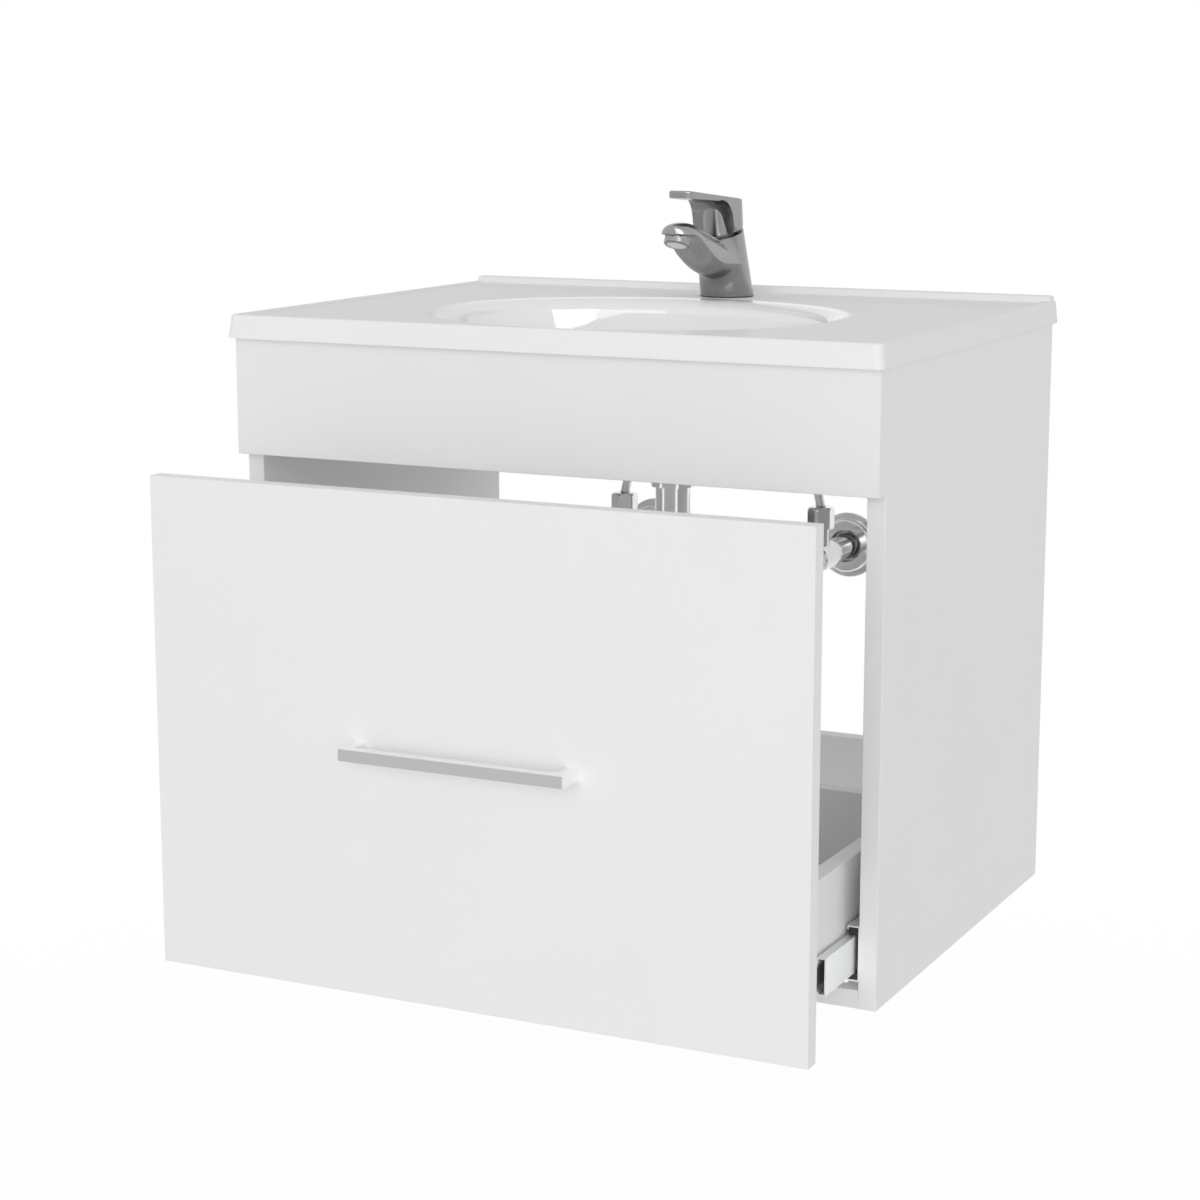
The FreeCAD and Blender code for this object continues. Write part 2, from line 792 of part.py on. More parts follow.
def spout():
    """The spout: domed sections that rise and slim towards a nose that is round from above."""
    sections = []
    for sizes in zip(between(spout_root_reach, spout_reach, spout_reach_shares),
                     between(spout_root_half_width, spout_tip_half_width, spout_width_shares),
                     between(spout_root_ridge, spout_tip_ridge, spout_ridge_shares),
                     between(spout_root_crease, spout_tip_crease, spout_crease_shares),
                     between(spout_root_belly, spout_tip_belly, spout_belly_shares)):
        sections.append(spout_section(*sizes))
    for share in spout_nose_shares:
        slim = math.sqrt(1 - share ** 2)
        levels = [between(spout_nose_level, level, [(1 + slim) / 2])[0]
                  for level in (spout_tip_ridge, spout_tip_crease, spout_tip_belly)]
        sections.append(spout_section(spout_reach + spout_nose * share, spout_tip_half_width * slim, *levels))
    return Part.makeLoft(sections, True, False)


def aerator_top():
    """The centre of the upper face of the aerator, inside the spout."""
    return beside_tap(spout_reach, aerator_level)


def aerator_way():
    """The direction in which the water leaves."""
    tilt = math.radians(aerator_tilt)
    return Vector(0, -math.sin(tilt), -math.cos(tilt))


def hose_foot(side):
    """Where the axis of one hose tip meets the foot of the tap."""
    return tap_base + Vector(side * hose_spread, hose_back, 0)


def stud_foot():
    """Where the axis of the fixing stud meets the foot of the tap."""
    return tap_base + Vector(0, -stud_forward, 0)


def faucet_body():
    column = Part.makeLoft([ellipse(tap_base, across, tap_base_radius, tap_base_radius, up),
                            ring_on_tap(tap_split, tap_neck_radius, tap_axis)], True, True)
    nozzle = spout()
    body = column.fuse(nozzle).removeSplitter()
    body = softened(body, tap_blend_radius, lambda edge: lies_on(edge, column) and lies_on(edge, nozzle))
    body = body.cut(rod(tap_neck_radius + lever_room, tap_point(tap_split), tap_point(lever_tip_height)))
    body = body.cut(rod(cartridge_radius + seat_clearance, tap_point(cartridge_seat),
                        tap_point(lever_tip_height)))
    outlet = aerator_top()
    body = body.cut(rod(aerator_radius + seat_clearance, outlet, outlet + aerator_way() * lever_tip_height))
    for _, side in sides:
        body = body.cut(rod(hose_tip_radius + seat_clearance, hose_foot(side) - up * overrun,
                            hose_foot(side) + up * hose_tip_seat))
    return body.cut(rod(stud_radius + seat_clearance, stud_foot() - up * overrun,
                        stud_foot() + up * stud_seat))


def faucet_gasket():
    ring = rod(tap_base_radius, tap_base - up * tap_gasket, tap_base)
    for _, side in sides:
        ring = ring.cut(rod(hose_tip_radius + seat_clearance, hose_foot(side) - up * overrun,
                            hose_foot(side) + up * overrun))
    return ring.cut(rod(stud_radius + seat_clearance, stud_foot() - up * overrun, stud_foot() + up * overrun))


def faucet_aerator():
    """The outlet insert, with key notches round its collar and a hollow mouth."""
    way = aerator_way()
    mouth = aerator_length - aerator_mouth_depth
    insert = turned([(0, 0), (aerator_radius, 0), (aerator_radius, aerator_length - aerator_edge),
                     (aerator_radius - aerator_edge, aerator_length), (aerator_mouth_radius, aerator_length),
                     (aerator_mouth_radius, mouth), (0, mouth)], aerator_top(), way)
    forward = across.cross(way)
    for i in range(aerator_notches):
        turn = 2 * math.pi * (i + 0.5) / aerator_notches
        rim = (across * math.cos(turn) + forward * math.sin(turn)) * aerator_radius
        foot = aerator_top() + rim + way * aerator_notch_lift
        insert = insert.cut(rod(aerator_notch_radius, foot, foot + way * aerator_notch_lift))
    return insert


def faucet_cartridge():
    return rod(cartridge_radius, tap_point(cartridge_seat), tap_point(cartridge_top))


def lever_pivot():
    """The axial and forward place of the pin that the lever tips on."""
    return tap_split + lever_gap + lever_pivot_rise, -lug_setback


def cartridge_carrier():
    """The turning top of the cartridge, with the lug that carries the lever's pin."""
    foot = cartridge_top + body_clearance
    axial, forward = lever_pivot()
    disc = rod(carrier_radius, tap_point(foot), tap_point(foot + carrier_height))
    eye = rod(lug_half_depth, tap_point(axial, forward) - across * lug_half_width,
              tap_point(axial, forward) + across * lug_half_width)
    corners = [tap_point(foot, forward - lug_half_depth), tap_point(foot, forward + lug_half_depth),
               tap_point(axial, forward + lug_half_depth), tap_point(axial, forward - lug_half_depth)]
    post = Part.Face(Part.makePolygon(corners + corners[:1])).extrude(across * (2 * lug_half_width))
    post.translate(across * -lug_half_width)
    carrier = disc.fuse([post, eye]).removeSplitter()
    reach = across * (lug_half_width + overrun)
    return carrier.cut(rod(lever_pin_radius + running_clearance, tap_point(axial, forward) - reach,
                           tap_point(axial, forward) + reach))


def lever_pin():
    centre = tap_point(*lever_pivot())
    reach = across * lever_pin_half_length
    return rod(lever_pin_radius, centre - reach, centre + reach)


def lever_top(reach):
    """The height of the lever's flat top so far in front of the tap's foot."""
    return lever_rear_height + (lever_tip_height - lever_rear_height) * reach / lever_tip_reach


def side_slab(edges, half_width):
    """A slab of some half width whose side view is a closed run of edges."""
    slab = Part.Face(Part.Wire(edges)).extrude(across * (2 * half_width))
    slab.translate(across * -half_width)
    return slab


def straight(points):
    """The straight edges through some points, each given by its reach and height."""
    corners = [beside_tap(*point) for point in points]
    return [Part.LineSegment(a, b).toShape() for a, b in zip(corners, corners[1:])]


def lever_underside():
    """The side view of the lever's underside: flat from the tip, then an arch down to the rear band."""
    web = (lever_web_reach, lever_top(lever_web_reach) - lever_web_thickness)
    band = (lever_band_reach, web[1] - lever_web_drop)
    nook = 1 - math.sqrt(0.5)
    middle = (band[0] + nook * (web[0] - band[0]), web[1] - nook * (web[1] - band[1]))
    tip = (lever_tip_reach, lever_tip_height - lever_tip_thickness)
    arch = Part.Arc(beside_tap(*web), beside_tap(*middle), beside_tap(*band)).toShape()
    return tip, web, band, arch


def lever_plan():
    """The plan of the lever: a round rear, straight sides that touch it, and a tip with soft corners."""
    rear = beside_tap(lever_crown_reach, lever_tip_height + overrun)
    corner = Vector(lever_tip_half_width - lever_tip_radius,
                    lever_crown_reach + lever_tip_radius - lever_tip_reach, 0)
    ahead = corner / corner.Length
    share = (tap_neck_radius - lever_tip_radius) / corner.Length
    out = ahead * share + Vector(-ahead.y, ahead.x, 0) * math.sqrt(1 - share ** 2)
    touches = []
    for _, side in sides:
        turn = Vector(side * out.x, out.y, 0)
        centre = rear + Vector(side * corner.x, corner.y, 0)
        diagonal = Vector(side, -1, 0) / math.sqrt(2)
        touches.append((rear + turn * tap_neck_radius, centre + turn * lever_tip_radius,
                        centre + diagonal * lever_tip_radius, centre - to_wall * lever_tip_radius))
    (a, b, c, d), (e, f, g, h) = touches
    edges = [Part.Arc(a, rear + to_wall * tap_neck_radius, e), Part.LineSegment(e, f), Part.Arc(f, g, h),
             Part.LineSegment(h, d), Part.Arc(d, c, b), Part.LineSegment(b, a)]
    return Part.Wire([edge.toShape() for edge in edges])


def lever_seat_room():
    """What is left free round the lever's foot: the tap below it, a chamfer and a slight flare."""
    far = 2 * lever_tip_reach
    return turned([(0, -far), (0, 0), (tap_neck_radius - lever_edge_chamfer, 0),
                   (tap_neck_radius, lever_edge_chamfer), (lever_flare_radius, lever_flare_height),
                   (far, lever_flare_height), (far, -far)], tap_point(tap_split + lever_gap), tap_axis)


def mixer_lever():
    """A flat lever over a slim neck: the outer form has an arched hollow cut away in front."""
    tip, web, band, arch = lever_underside()
    far = 2 * lever_tip_reach
    roof = side_slab(straight([(-far, lever_top(-far)), (far, lever_top(far)), (far, 2 * lever_tip_height),
                               (-far, 2 * lever_tip_height), (-far, lever_top(-far))]), far)
    heel = (band[0] - band[1] * math.tan(lean), 0)
    hollow = straight([band, heel, (far, 0), (far, tip[1]), tip, web])
    seat = tap_point(tap_split + lever_gap)
    crown = beside_tap(lever_crown_reach, lever_tip_height + overrun)
    form = Part.Face(lever_plan()).extrude((seat - crown) * 2).cut(roof)
    form = softened(form, lever_top_edge, lambda edge: lies_on(edge, roof))
    form = form.cut(lever_seat_room()).cut(side_slab(hollow + [arch], far))
    rings = [ellipse(centre, across, lever_neck_radius, lever_neck_radius, normal)
             for centre, normal in ((seat, tap_axis), (crown, up))]
    lever = form.fuse(Part.makeLoft(rings, True, True).cut(roof)).removeSplitter()
    foot = tap_split + lever_gap
    for setback in (0, lever_bore_back):
        lever = lever.cut(rod(lever_bore_radius, tap_point(foot - overrun, -setback),
                              tap_point(foot + lever_bore_depth, -setback)))
    centre = tap_point(*lever_pivot())
    reach = across * (lever_pin_half_length + seat_clearance)
    return lever.cut(rod(lever_pin_radius + seat_clearance, centre - reach, centre + reach))


def washer_top():
    """The underside of the deck, where the fixing washer of the tap bears."""
    return deck_level - deck_thickness


def faucet_stud():
    return rod(stud_radius, stud_foot() + up * (stud_seat - stud_length), stud_foot() + up * stud_seat)


def faucet_washer():
    """The horseshoe plate under the deck, notched at the back for the hoses."""
    top = Vector(0, tap_y, washer_top())
    plate = rod(washer_radius, top - up * washer_thickness, top)
    notch = box((-washer_notch_half_width, washer_notch_half_width), (tap_y - hose_back, overrun),
                (top.z - washer_thickness - overrun, top.z + overrun))
    stud = stud_foot()
    hole = rod(stud_radius + seat_clearance, Vector(stud.x, stud.y, top.z - washer_thickness - overrun),
               Vector(stud.x, stud.y, top.z + overrun))
    return plate.cut(notch).cut(hole)


def faucet_nut():
    stud = stud_foot()
    top = washer_top() - washer_thickness
    start, end = Vector(stud.x, stud.y, top - tap_nut_height), Vector(stud.x, stud.y, top)
    hole = rod(stud_radius + seat_clearance, start - up * overrun, end + up * overrun)
    return prism(tap_nut_radius, tap_nut_sides, start, end).cut(hole)


# Supply valves and hoses
def valve_axis(side, y):
    """A point on the axis of one valve."""
    return Vector(side * valve_spacing / 2, y, valve_height)


def branch(side, level):
    """A point on the axis of one valve's upright outlet."""
    return Vector(side * valve_spacing / 2, -valve_branch_distance, level)


def valve_body(side):
    """Inlet thread, barrel and chest turned in one piece, with the outlet that the hose screws on."""
    front = valve_front_distance
    waist = valve_branch_distance - valve_chest_half_length
    barrel = turned([(0, -valve_inlet_length), (valve_inlet_radius, -valve_inlet_length),
                     (valve_inlet_radius, 0), (valve_body_radius, 0),
                     (valve_body_radius, waist - valve_body_radius),
                     (valve_neck_radius, waist - valve_neck_radius / 2), (valve_chest_radius, waist),
                     (valve_chest_radius, front - valve_chest_edge),
                     (valve_chest_radius - valve_chest_edge, front),
                     (valve_stem_radius, front), (valve_stem_radius, front + valve_stem_length),
                     (0, front + valve_stem_length)], valve_axis(side, 0), to_wall * -1)
    outlet = rod(valve_branch_radius, branch(side, valve_height), branch(side, valve_branch_top))
    return barrel.fuse(outlet).removeSplitter()


def valve_rosette(side):
    """The cover at the wall: a plate, a groove and a slightly smaller front disc."""
    hole = valve_body_radius + seat_clearance
    back = valve_rosette_plate
    face = back + valve_rosette_groove
    front = face + valve_rosette_plate
    edge = valve_rosette_groove / 2
    return turned([(hole, 0), (valve_rosette_radius, 0), (valve_rosette_radius, back - edge),
                   (valve_rosette_radius - edge, back), (valve_rosette_front_radius - 2 * edge, back),
                   (valve_rosette_front_radius - 2 * edge, face), (valve_rosette_front_radius, face),
                   (valve_rosette_front_radius, front - edge), (valve_rosette_front_radius - edge, front),
                   (hole, front)], valve_axis(side, 0), to_wall * -1)


def valve_knob(side):
    """The round knob that turns on the stem, fluted for the fingers."""
    start = -valve_front_distance - body_clearance
    edge = valve_knob_edge
    knob = turned([(0, 0), (valve_knob_radius - edge, 0), (valve_knob_radius, edge),
                   (valve_knob_radius, valve_knob_length - edge),
                   (valve_knob_radius - edge, valve_knob_length),
                   (0, valve_knob_length)], valve_axis(side, start), to_wall * -1)
    for i in range(valve_knob_flutes):
        angle = 2 * math.pi * i / valve_knob_flutes
        spoke = Vector(valve_knob_radius * math.cos(angle), 0, valve_knob_radius * math.sin(angle))
        place = valve_axis(side, start) + spoke
        knob = knob.cut(rod(valve_knob_flute_radius, place + to_wall * overrun,
                            place - to_wall * (valve_knob_length + overrun)))
    socket = rod(valve_stem_radius + running_clearance, valve_axis(side, start + overrun),
                 valve_axis(side, -valve_front_distance - valve_stem_length - body_clearance))
    return knob.cut(socket)


def hose_nut(side):
    """The nut of the hose: a hexagon with a round collar, screwed over the valve's outlet."""
    foot = valve_branch_top - hose_nut_grip
    collar_foot = foot + hose_nut_height - hose_nut_collar
    hexagon = prism(hose_nut_radius, hose_nut_sides, branch(side, foot), branch(side, collar_foot))
    collar = rod(hose_nut_radius, branch(side, collar_foot), branch(side, foot + hose_nut_height))
    nut = hexagon.fuse(collar).removeSplitter()
    return nut.cut(rod(valve_branch_radius + seat_clearance, branch(side, foot - overrun),
                       branch(side, valve_branch_top + seat_clearance)))


def hose_tip(side):
    """The slim end of the hose, screwed up into the foot of the tap."""
    top = hose_foot(side) + up * hose_tip_seat
    return rod(hose_tip_radius, top - up * hose_tip_length, top)


def hose_path(points):
    """Straight runs joined by the largest tangent arcs that they allow."""
    lines = []
    start = points[0]
    for before, here, after in zip(points, points[1:], points[2:]):
        back = before - here
        onward = after - here
        cut = hose_run_share * min(back.Length, onward.Length)
        half_turn = (math.pi - back.getAngle(onward)) / 2
        radius = cut / math.tan(half_turn)
        back.normalize()
        onward.normalize()
        bisector = back + onward
        bisector.normalize()
        middle = here + bisector * (radius / math.cos(half_turn) - radius)
        lines.append(Part.LineSegment(start, here + back * cut).toShape())
        lines.append(Part.Arc(here + back * cut, middle, here + onward * cut).toShape())
        start = here + onward * cut
        print("hose bend radius", round(radius, 1))
    lines.append(Part.LineSegment(start, points[-1]).toShape())
    return Part.Wire(lines)


def hose(side):
    """The flexible hose along its route, from inside its nut to inside its tip."""
    path = hose_path([Vector(side * x, y, z) for x, y, z in hose_route])
    start, way = path.Edges[0].Vertexes[0].Point, path.Edges[0].tangentAt(0)
    section = Part.Wire(Part.Circle(start, way, hose_radius).toShape())
    tube_form = path.makePipeShell([section], True, False)
    plain_volume = math.pi * hose_radius ** 2 * path.Length
    print("hose volume against section times length", round(tube_form.Volume / plain_volume, 4))
    return tube_form


# Drawer
def drawer_front():
    z = (drawer_front_lift, drawer_front_lift + drawer_front_height)
    front = board_block((-half_width, half_width), (drawer_front_face, drawer_back_face), z, across)
    for place in handle_screw_places():
        front = front.cut(rod(handle_screw_radius + seat_clearance, place + to_wall * overrun,
                              place - to_wall * (board + overrun)))
    return front


def drawer_floor_level():
    """The underside of the drawer's bottom panel."""
    return drawer_box_lift + floor_lift


def drawer_side(side):
    y = (drawer_back_face, drawer_back_face + drawer_box_depth)
    panel = board_block(mirrored(box_half - board, box_half, side), y,
                        (drawer_box_lift, drawer_box_lift + drawer_box_height), to_wall)
    floor = drawer_floor_level()
    groove = box(mirrored(box_half - board - overrun, box_half - board + floor_groove, side),
                 (y[0] - overrun, y[1] + overrun), (floor, floor + drawer_floor + seat_clearance))
    panel = panel.cut(groove)
    for seat, way in inner_screw_seats(side):
        panel = panel.cut(screw_hole(seat, way))
    for seat in drawer_cam_seats(side):
        panel = panel.cut(cam_bore(seat, across * side))
    return panel


def drawer_back():
    end = drawer_back_face + drawer_box_depth
    inside = box_half - board
    floor_top = drawer_floor_level() + drawer_floor
    return board_block((-inside, inside), (end - board, end),
                       (floor_top, drawer_box_lift + drawer_box_height), across)


def drawer_bottom():
    reach = box_half - board + floor_groove - seat_clearance
    return box((-reach, reach), (drawer_back_face, drawer_back_face + drawer_box_depth),
               (drawer_floor_level(), drawer_floor_level() + drawer_floor))


def drawer_handle():
    """A square bar bent to a U: the grip with a post at each end."""
    half = handle_length / 2
    face = drawer_front_face
    outline = [(-half, face), (-half, face - handle_reach), (half, face - handle_reach), (half, face),
               (half - handle_bar, face), (half - handle_bar, face - handle_reach + handle_bar),
               (handle_bar - half, face - handle_reach + handle_bar), (handle_bar - half, face)]
    corners = [Vector(x, y, handle_height - handle_bar / 2) for x, y in outline]
    bar = Part.Face(Part.makePolygon(corners + corners[:1])).extrude(up * handle_bar)
    bar = softened(bar, handle_edge_radius,
                   lambda edge: edge.BoundBox.YMax < face - handle_reach + seat_clearance)
    for place in handle_screw_places():
        seat = Vector(place.x, face, place.z)
        bar = bar.cut(rod(handle_screw_radius + seat_clearance, seat + to_wall * overrun,
                          seat - to_wall * handle_screw_grip))
    return bar


def handle_screws():
    screws = []
    for place in handle_screw_places():
        length = board + handle_screw_grip - seat_clearance
        shank = rod(handle_screw_radius, place, place - to_wall * length)
        head = rod(handle_screw_head_radius, place, place + to_wall * handle_screw_head_height)
        screws.append(head.fuse(shank).removeSplitter())
    return screws


# Build the part, one file for each node
os.makedirs("parts", exist_ok=True)


def write(name, solids):
    """Lower the solids so that the origin is between the wall screws, and write them."""
    shape = Part.makeCompound(solids) if isinstance(solids, list) else solids
    moved = shape.translated(Vector(0, 0, -hang_height))
    moved.exportStep("parts/" + name + ".step")
    print(name, len(moved.Solids), moved.isValid(), round(moved.Volume))


for name, side in sides:
    write("side_panel_" + name, side_panel(side))
    write("slide_outer_" + name, slide_outer(side))
    write("slide_middle_" + name, slide_middle(side))
    write("slide_inner_" + name, slide_inner(side))
    write("valve_body_" + name, valve_body(side))
    write("valve_rosette_" + name, valve_rosette(side))
    write("valve_knob_" + name, valve_knob(side))
    write("hose_nut_" + name, hose_nut(side))
    write("hose_tip_" + name, hose_tip(side))
    write("hose_" + name, hose(side))
    write("drawer_side_" + name, drawer_side(side))
write("apron_panel", apron_panel())
write("hanging_rail", hanging_rail())
write("lower_rail", rear_rail(lower_rail_lift))
write("front_rail", front_rail())
write("side_cleats", side_cleats())
write("apron_brackets", apron_brackets())
write("slide_bumpers", slide_bumpers())
write("basin_top", basin_top())
write("drain_flange", drain_flange())
write("drain_stopper", drain_stopper())
write("drain_gasket", drain_gasket())
write("drain_nut", drain_nut())
write("tailpipe", tailpipe())
write("trap_nuts", trap_nuts())
write("trap_body", trap_body())
write("trap_cup", trap_cup())
write("trap_arm", trap_arm())
write("waste_rosette", waste_rosette())
write("faucet_body", faucet_body())
write("faucet_gasket", faucet_gasket())
write("faucet_aerator", faucet_aerator())
write("faucet_cartridge", faucet_cartridge())
write("cartridge_carrier", cartridge_carrier())
write("mixer_lever", mixer_lever())
write("lever_pin", lever_pin())
write("faucet_stud", faucet_stud())
write("faucet_washer", faucet_washer())
write("faucet_nut", faucet_nut())
write("drawer_front", drawer_front())
write("drawer_back", drawer_back())
write("drawer_bottom", drawer_bottom())
write("drawer_handle", drawer_handle())
write("handle_screws", handle_screws())
write("cam_locks", [cam(seat, to_wall) for seat in rail_cam_seats()])
write("drawer_cam_locks", [cam(seat, across * side) for _, side in sides for seat in drawer_cam_seats(side)])
write("cabinet_screws", [screw(*place) for _, side in sides
                         for place in bracket_screw_seats(side) + outer_screw_seats(side)])
write("drawer_slide_screws", [screw(*place) for _, side in sides for place in inner_screw_seats(side)])
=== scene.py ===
# %% [markdown]
# # A wall-hung vanity unit, dressed for a studio picture
# The construction of the unit comes as a fixed frame: boards, slides, basin, tap, waste and valves, each
# a node at its real place. This lesson gives every one of them its finish, adds the small things that
# only a close look shows, and sets up the light. Lengths are metres, unless a name or a comment says
# millimetres, and the wall is at y = 0.

# %% Load the frame
import json
import math
import bpy
import numpy as np
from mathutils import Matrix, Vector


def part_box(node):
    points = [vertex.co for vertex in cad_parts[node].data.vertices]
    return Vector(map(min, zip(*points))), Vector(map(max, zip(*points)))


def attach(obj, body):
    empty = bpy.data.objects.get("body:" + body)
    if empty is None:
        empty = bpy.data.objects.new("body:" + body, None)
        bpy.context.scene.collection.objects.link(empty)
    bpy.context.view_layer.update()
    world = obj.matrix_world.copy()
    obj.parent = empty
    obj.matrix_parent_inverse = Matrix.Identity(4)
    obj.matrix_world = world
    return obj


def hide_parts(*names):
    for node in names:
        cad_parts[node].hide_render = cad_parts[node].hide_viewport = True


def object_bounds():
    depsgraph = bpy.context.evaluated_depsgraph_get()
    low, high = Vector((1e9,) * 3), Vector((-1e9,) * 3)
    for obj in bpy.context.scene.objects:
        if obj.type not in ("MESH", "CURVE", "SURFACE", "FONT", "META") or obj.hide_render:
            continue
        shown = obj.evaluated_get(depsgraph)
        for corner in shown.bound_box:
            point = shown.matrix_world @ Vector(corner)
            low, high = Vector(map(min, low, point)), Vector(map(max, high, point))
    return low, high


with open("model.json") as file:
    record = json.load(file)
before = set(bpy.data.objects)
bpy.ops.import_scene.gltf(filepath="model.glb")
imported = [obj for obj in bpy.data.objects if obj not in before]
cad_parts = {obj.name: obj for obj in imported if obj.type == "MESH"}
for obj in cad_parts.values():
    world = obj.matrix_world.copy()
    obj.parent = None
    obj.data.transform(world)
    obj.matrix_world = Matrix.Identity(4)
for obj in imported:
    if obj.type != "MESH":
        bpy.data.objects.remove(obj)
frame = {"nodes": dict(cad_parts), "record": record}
cad_low, cad_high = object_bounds()
nodes = frame["nodes"]

# %% [markdown]
# ## The camera
# The picture was taken from the front right, a little above the basin. Edges that are parallel on the
# unit meet far outside the frame, and that fixes how far away the camera stood: about 2.5 m, with a
# long lens. A shifted lens would keep upright edges parallel in the picture. The camera is turned down
# by its own pitch instead, so that it frames the unit well from any other side too.

# %% Camera
camera_place = (0.9782, -2.3188, 0.2604)
camera_heading = math.radians(26.142)
camera_pitch = math.radians(10.899)
lens_millimetres = 81.08
sensor_millimetres = 36.0
camera_data = bpy.data.cameras.new("studio_camera")
camera_data.sensor_width = sensor_millimetres
camera_data.lens = lens_millimetres
camera = bpy.data.objects.new("studio_camera", camera_data)
camera.location = camera_place
camera.rotation_euler = (math.pi / 2 - camera_pitch, 0.0, camera_heading)
bpy.context.scene.collection.objects.link(camera)
bpy.context.scene.camera = camera
print("camera at", camera_place)

# %% [markdown]
# ## Putting a surface into a mesh
# Most small pieces here are one surface on a grid of rings and columns. A grid whose columns close is a
# tube, one whose rings close as well is a ring like a washer, and one with a point at each end is a
# solid form. The helpers join neighbouring points into faces with whole arrays, so no loop visits a
# single point.

# %% Grid helpers
def grid_faces(rings, columns, closed_rings=False):
    """Corner numbers of the faces between each ring and the next, with the columns joined round."""
    row = np.arange(rings if closed_rings else rings - 1)[:, None]
    col = np.arange(columns)[None, :]
    next_row = (row + 1) % rings
    next_col = (col + 1) % columns
    corners = [row * columns + col, row * columns + next_col, next_row * columns + next_col,
               next_row * columns + col]
    return np.stack(corners, axis=-1).reshape(-1, 4)


def turned_faces(rings, columns):
    """Faces of a closed turned form: a fan at each pole and four-cornered faces between the rings."""
    first = np.arange(columns)
    after = (first + 1) % columns
    last = (rings - 1) * columns
    start = np.stack([np.full(columns, rings * columns), after, first], axis=-1)
    end = np.stack([np.full(columns, rings * columns + 1), last + first, last + after], axis=-1)
    return grid_faces(rings, columns).tolist() + start.tolist() + end.tolist()


def new_piece(name, points, faces, uv=None):
    """A smooth mesh object from an array of points and the corner numbers of its faces."""
    mesh = bpy.data.meshes.new(name)
    mesh.from_pydata(points.reshape(-1, 3).tolist(), [], [list(face) for face in faces])
    if uv is not None:
        layer = mesh.uv_layers.new(name="along_and_round")
        layer.data.foreach_set("uv", uv.astype(np.float32).ravel())
    mesh.polygons.foreach_set("use_smooth", np.ones(len(mesh.polygons), dtype=bool))
    mesh.update()
    piece = bpy.data.objects.new(name, mesh)
    bpy.context.scene.collection.objects.link(piece)
    return piece


print("grid of 3 by 4 has", len(grid_faces(3, 4)), "faces")

# %% [markdown]
# ## The nuts of the hoses
# A six-sided nut joins each hose to its valve. On a lathe its upper edge is rounded, so the corners of the
# hexagon fade into arcs there. A bevelled prism would round all its edges alike, so the nut is worked out
# instead: the radius at each height and turn is the smaller of two, that of the turned outline and that
# of the hexagon. Rounded corners are short arcs, and next to them each straight stretch of the outline
# has a second point, so that flat faces stay flat.

# %% Nuts
valve_across = 0.098
valve_level = -0.1625
valve_places = {"left": (-valve_across, 0.0, valve_level), "right": (valve_across, 0.0, valve_level)}
nut_foot = np.array((0.0, -0.074, 0.026))
nut_half_width = 0.0110
ring_columns = 120
ring_turn = np.linspace(0, 2 * np.pi, ring_columns, endpoint=False)[None, :]


def corner_arc(centre, radius, start, end, steps=9):
    """Points centre + radius * (cos a, sin a) with a from start to end, in degrees."""
    turn = np.radians(np.linspace(start, end, steps))
    return np.stack([centre[0] + radius * np.cos(turn), centre[1] + radius * np.sin(turn)], axis=-1)


def outline_of(parts):
    """One line of (radius, height) in metres from stretches and arcs in millimetres."""
    return np.concatenate([np.array(part) for part in parts]) / 1000


def hexagon_reach(turn):
    """Half width / cos(turn from the middle of the nearest flat side)."""
    return nut_half_width / np.cos((turn + np.pi / 6) % (np.pi / 3) - np.pi / 6)


def nut_outline():
    """Closed line of (radius, height): foot, rounded shoulder, hole of the hose and hollow over the valve."""
    foot = [[(8.1, 0.0), (10.4, 0.0)], corner_arc((10.7, 1.6), 1.6, -90, 0)]
    shoulder = [[(12.3, 1.9), (12.3, 16.2)], corner_arc((8.8, 16.5), 3.5, 0, 90), [(8.4, 20.0), (4.5, 20.0)]]
    hose_hole = [[(4.4, 19.9), (4.4, 10.4), (4.5, 10.3)]]
    hollow = [[(8.0, 10.3), (8.1, 10.2), (8.1, 0.1)]]
    return outline_of(foot + shoulder + hose_hole + hollow)


def union_nut(name, outline, foot):
    """Foot + (r * cos a, r * sin a, height), r the smaller of the outline's radius and the hexagon's at a."""
    radius = np.minimum(outline[:, :1], hexagon_reach(ring_turn))
    height = outline[:, 1:] + 0 * ring_turn
    points = np.stack([radius * np.cos(ring_turn), radius * np.sin(ring_turn), height], axis=-1)
    return new_piece(name, points + foot, grid_faces(len(outline), ring_columns, closed_rings=True))


hose_nuts = {}
for side_name, place in valve_places.items():
    hose_nut = union_nut("union_nut_" + side_name, nut_outline(), np.array(place) + nut_foot)
    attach(hose_nut, "cabinet")
    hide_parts("hose_nut_" + side_name)
    hose_nuts[side_name] = hose_nut
print("nuts:", len(hose_nuts), "with", len(nut_outline()), "points in the outline")

# %% [markdown]
# ## The braided hoses
# A flexible hose leads from each valve up to the tap. Its line is a smooth spline whose control points
# are given. A curve with a round bevel would make the tube at once, but with a map that runs from
# 0 to 1 whatever the length. So the tube is a circle carried along that line: at each point two vectors
# square to the line span the circle. Its map counts millimetres along it and turns round it, and the
# woven wire follows that map.

# %% Hoses
hose_radius = 0.0042
hose_columns = 24
hose_steps = 12
hose_route = ((0.098, -0.074, -0.1185), (0.093, -0.074, -0.0945), (0.082, -0.072, -0.0695),
              (0.065, -0.069, -0.0475), (0.045, -0.066, -0.0295), (0.026, -0.063, -0.0105),
              (0.013, -0.062, 0.0165), (0.0085, -0.061, 0.0432))


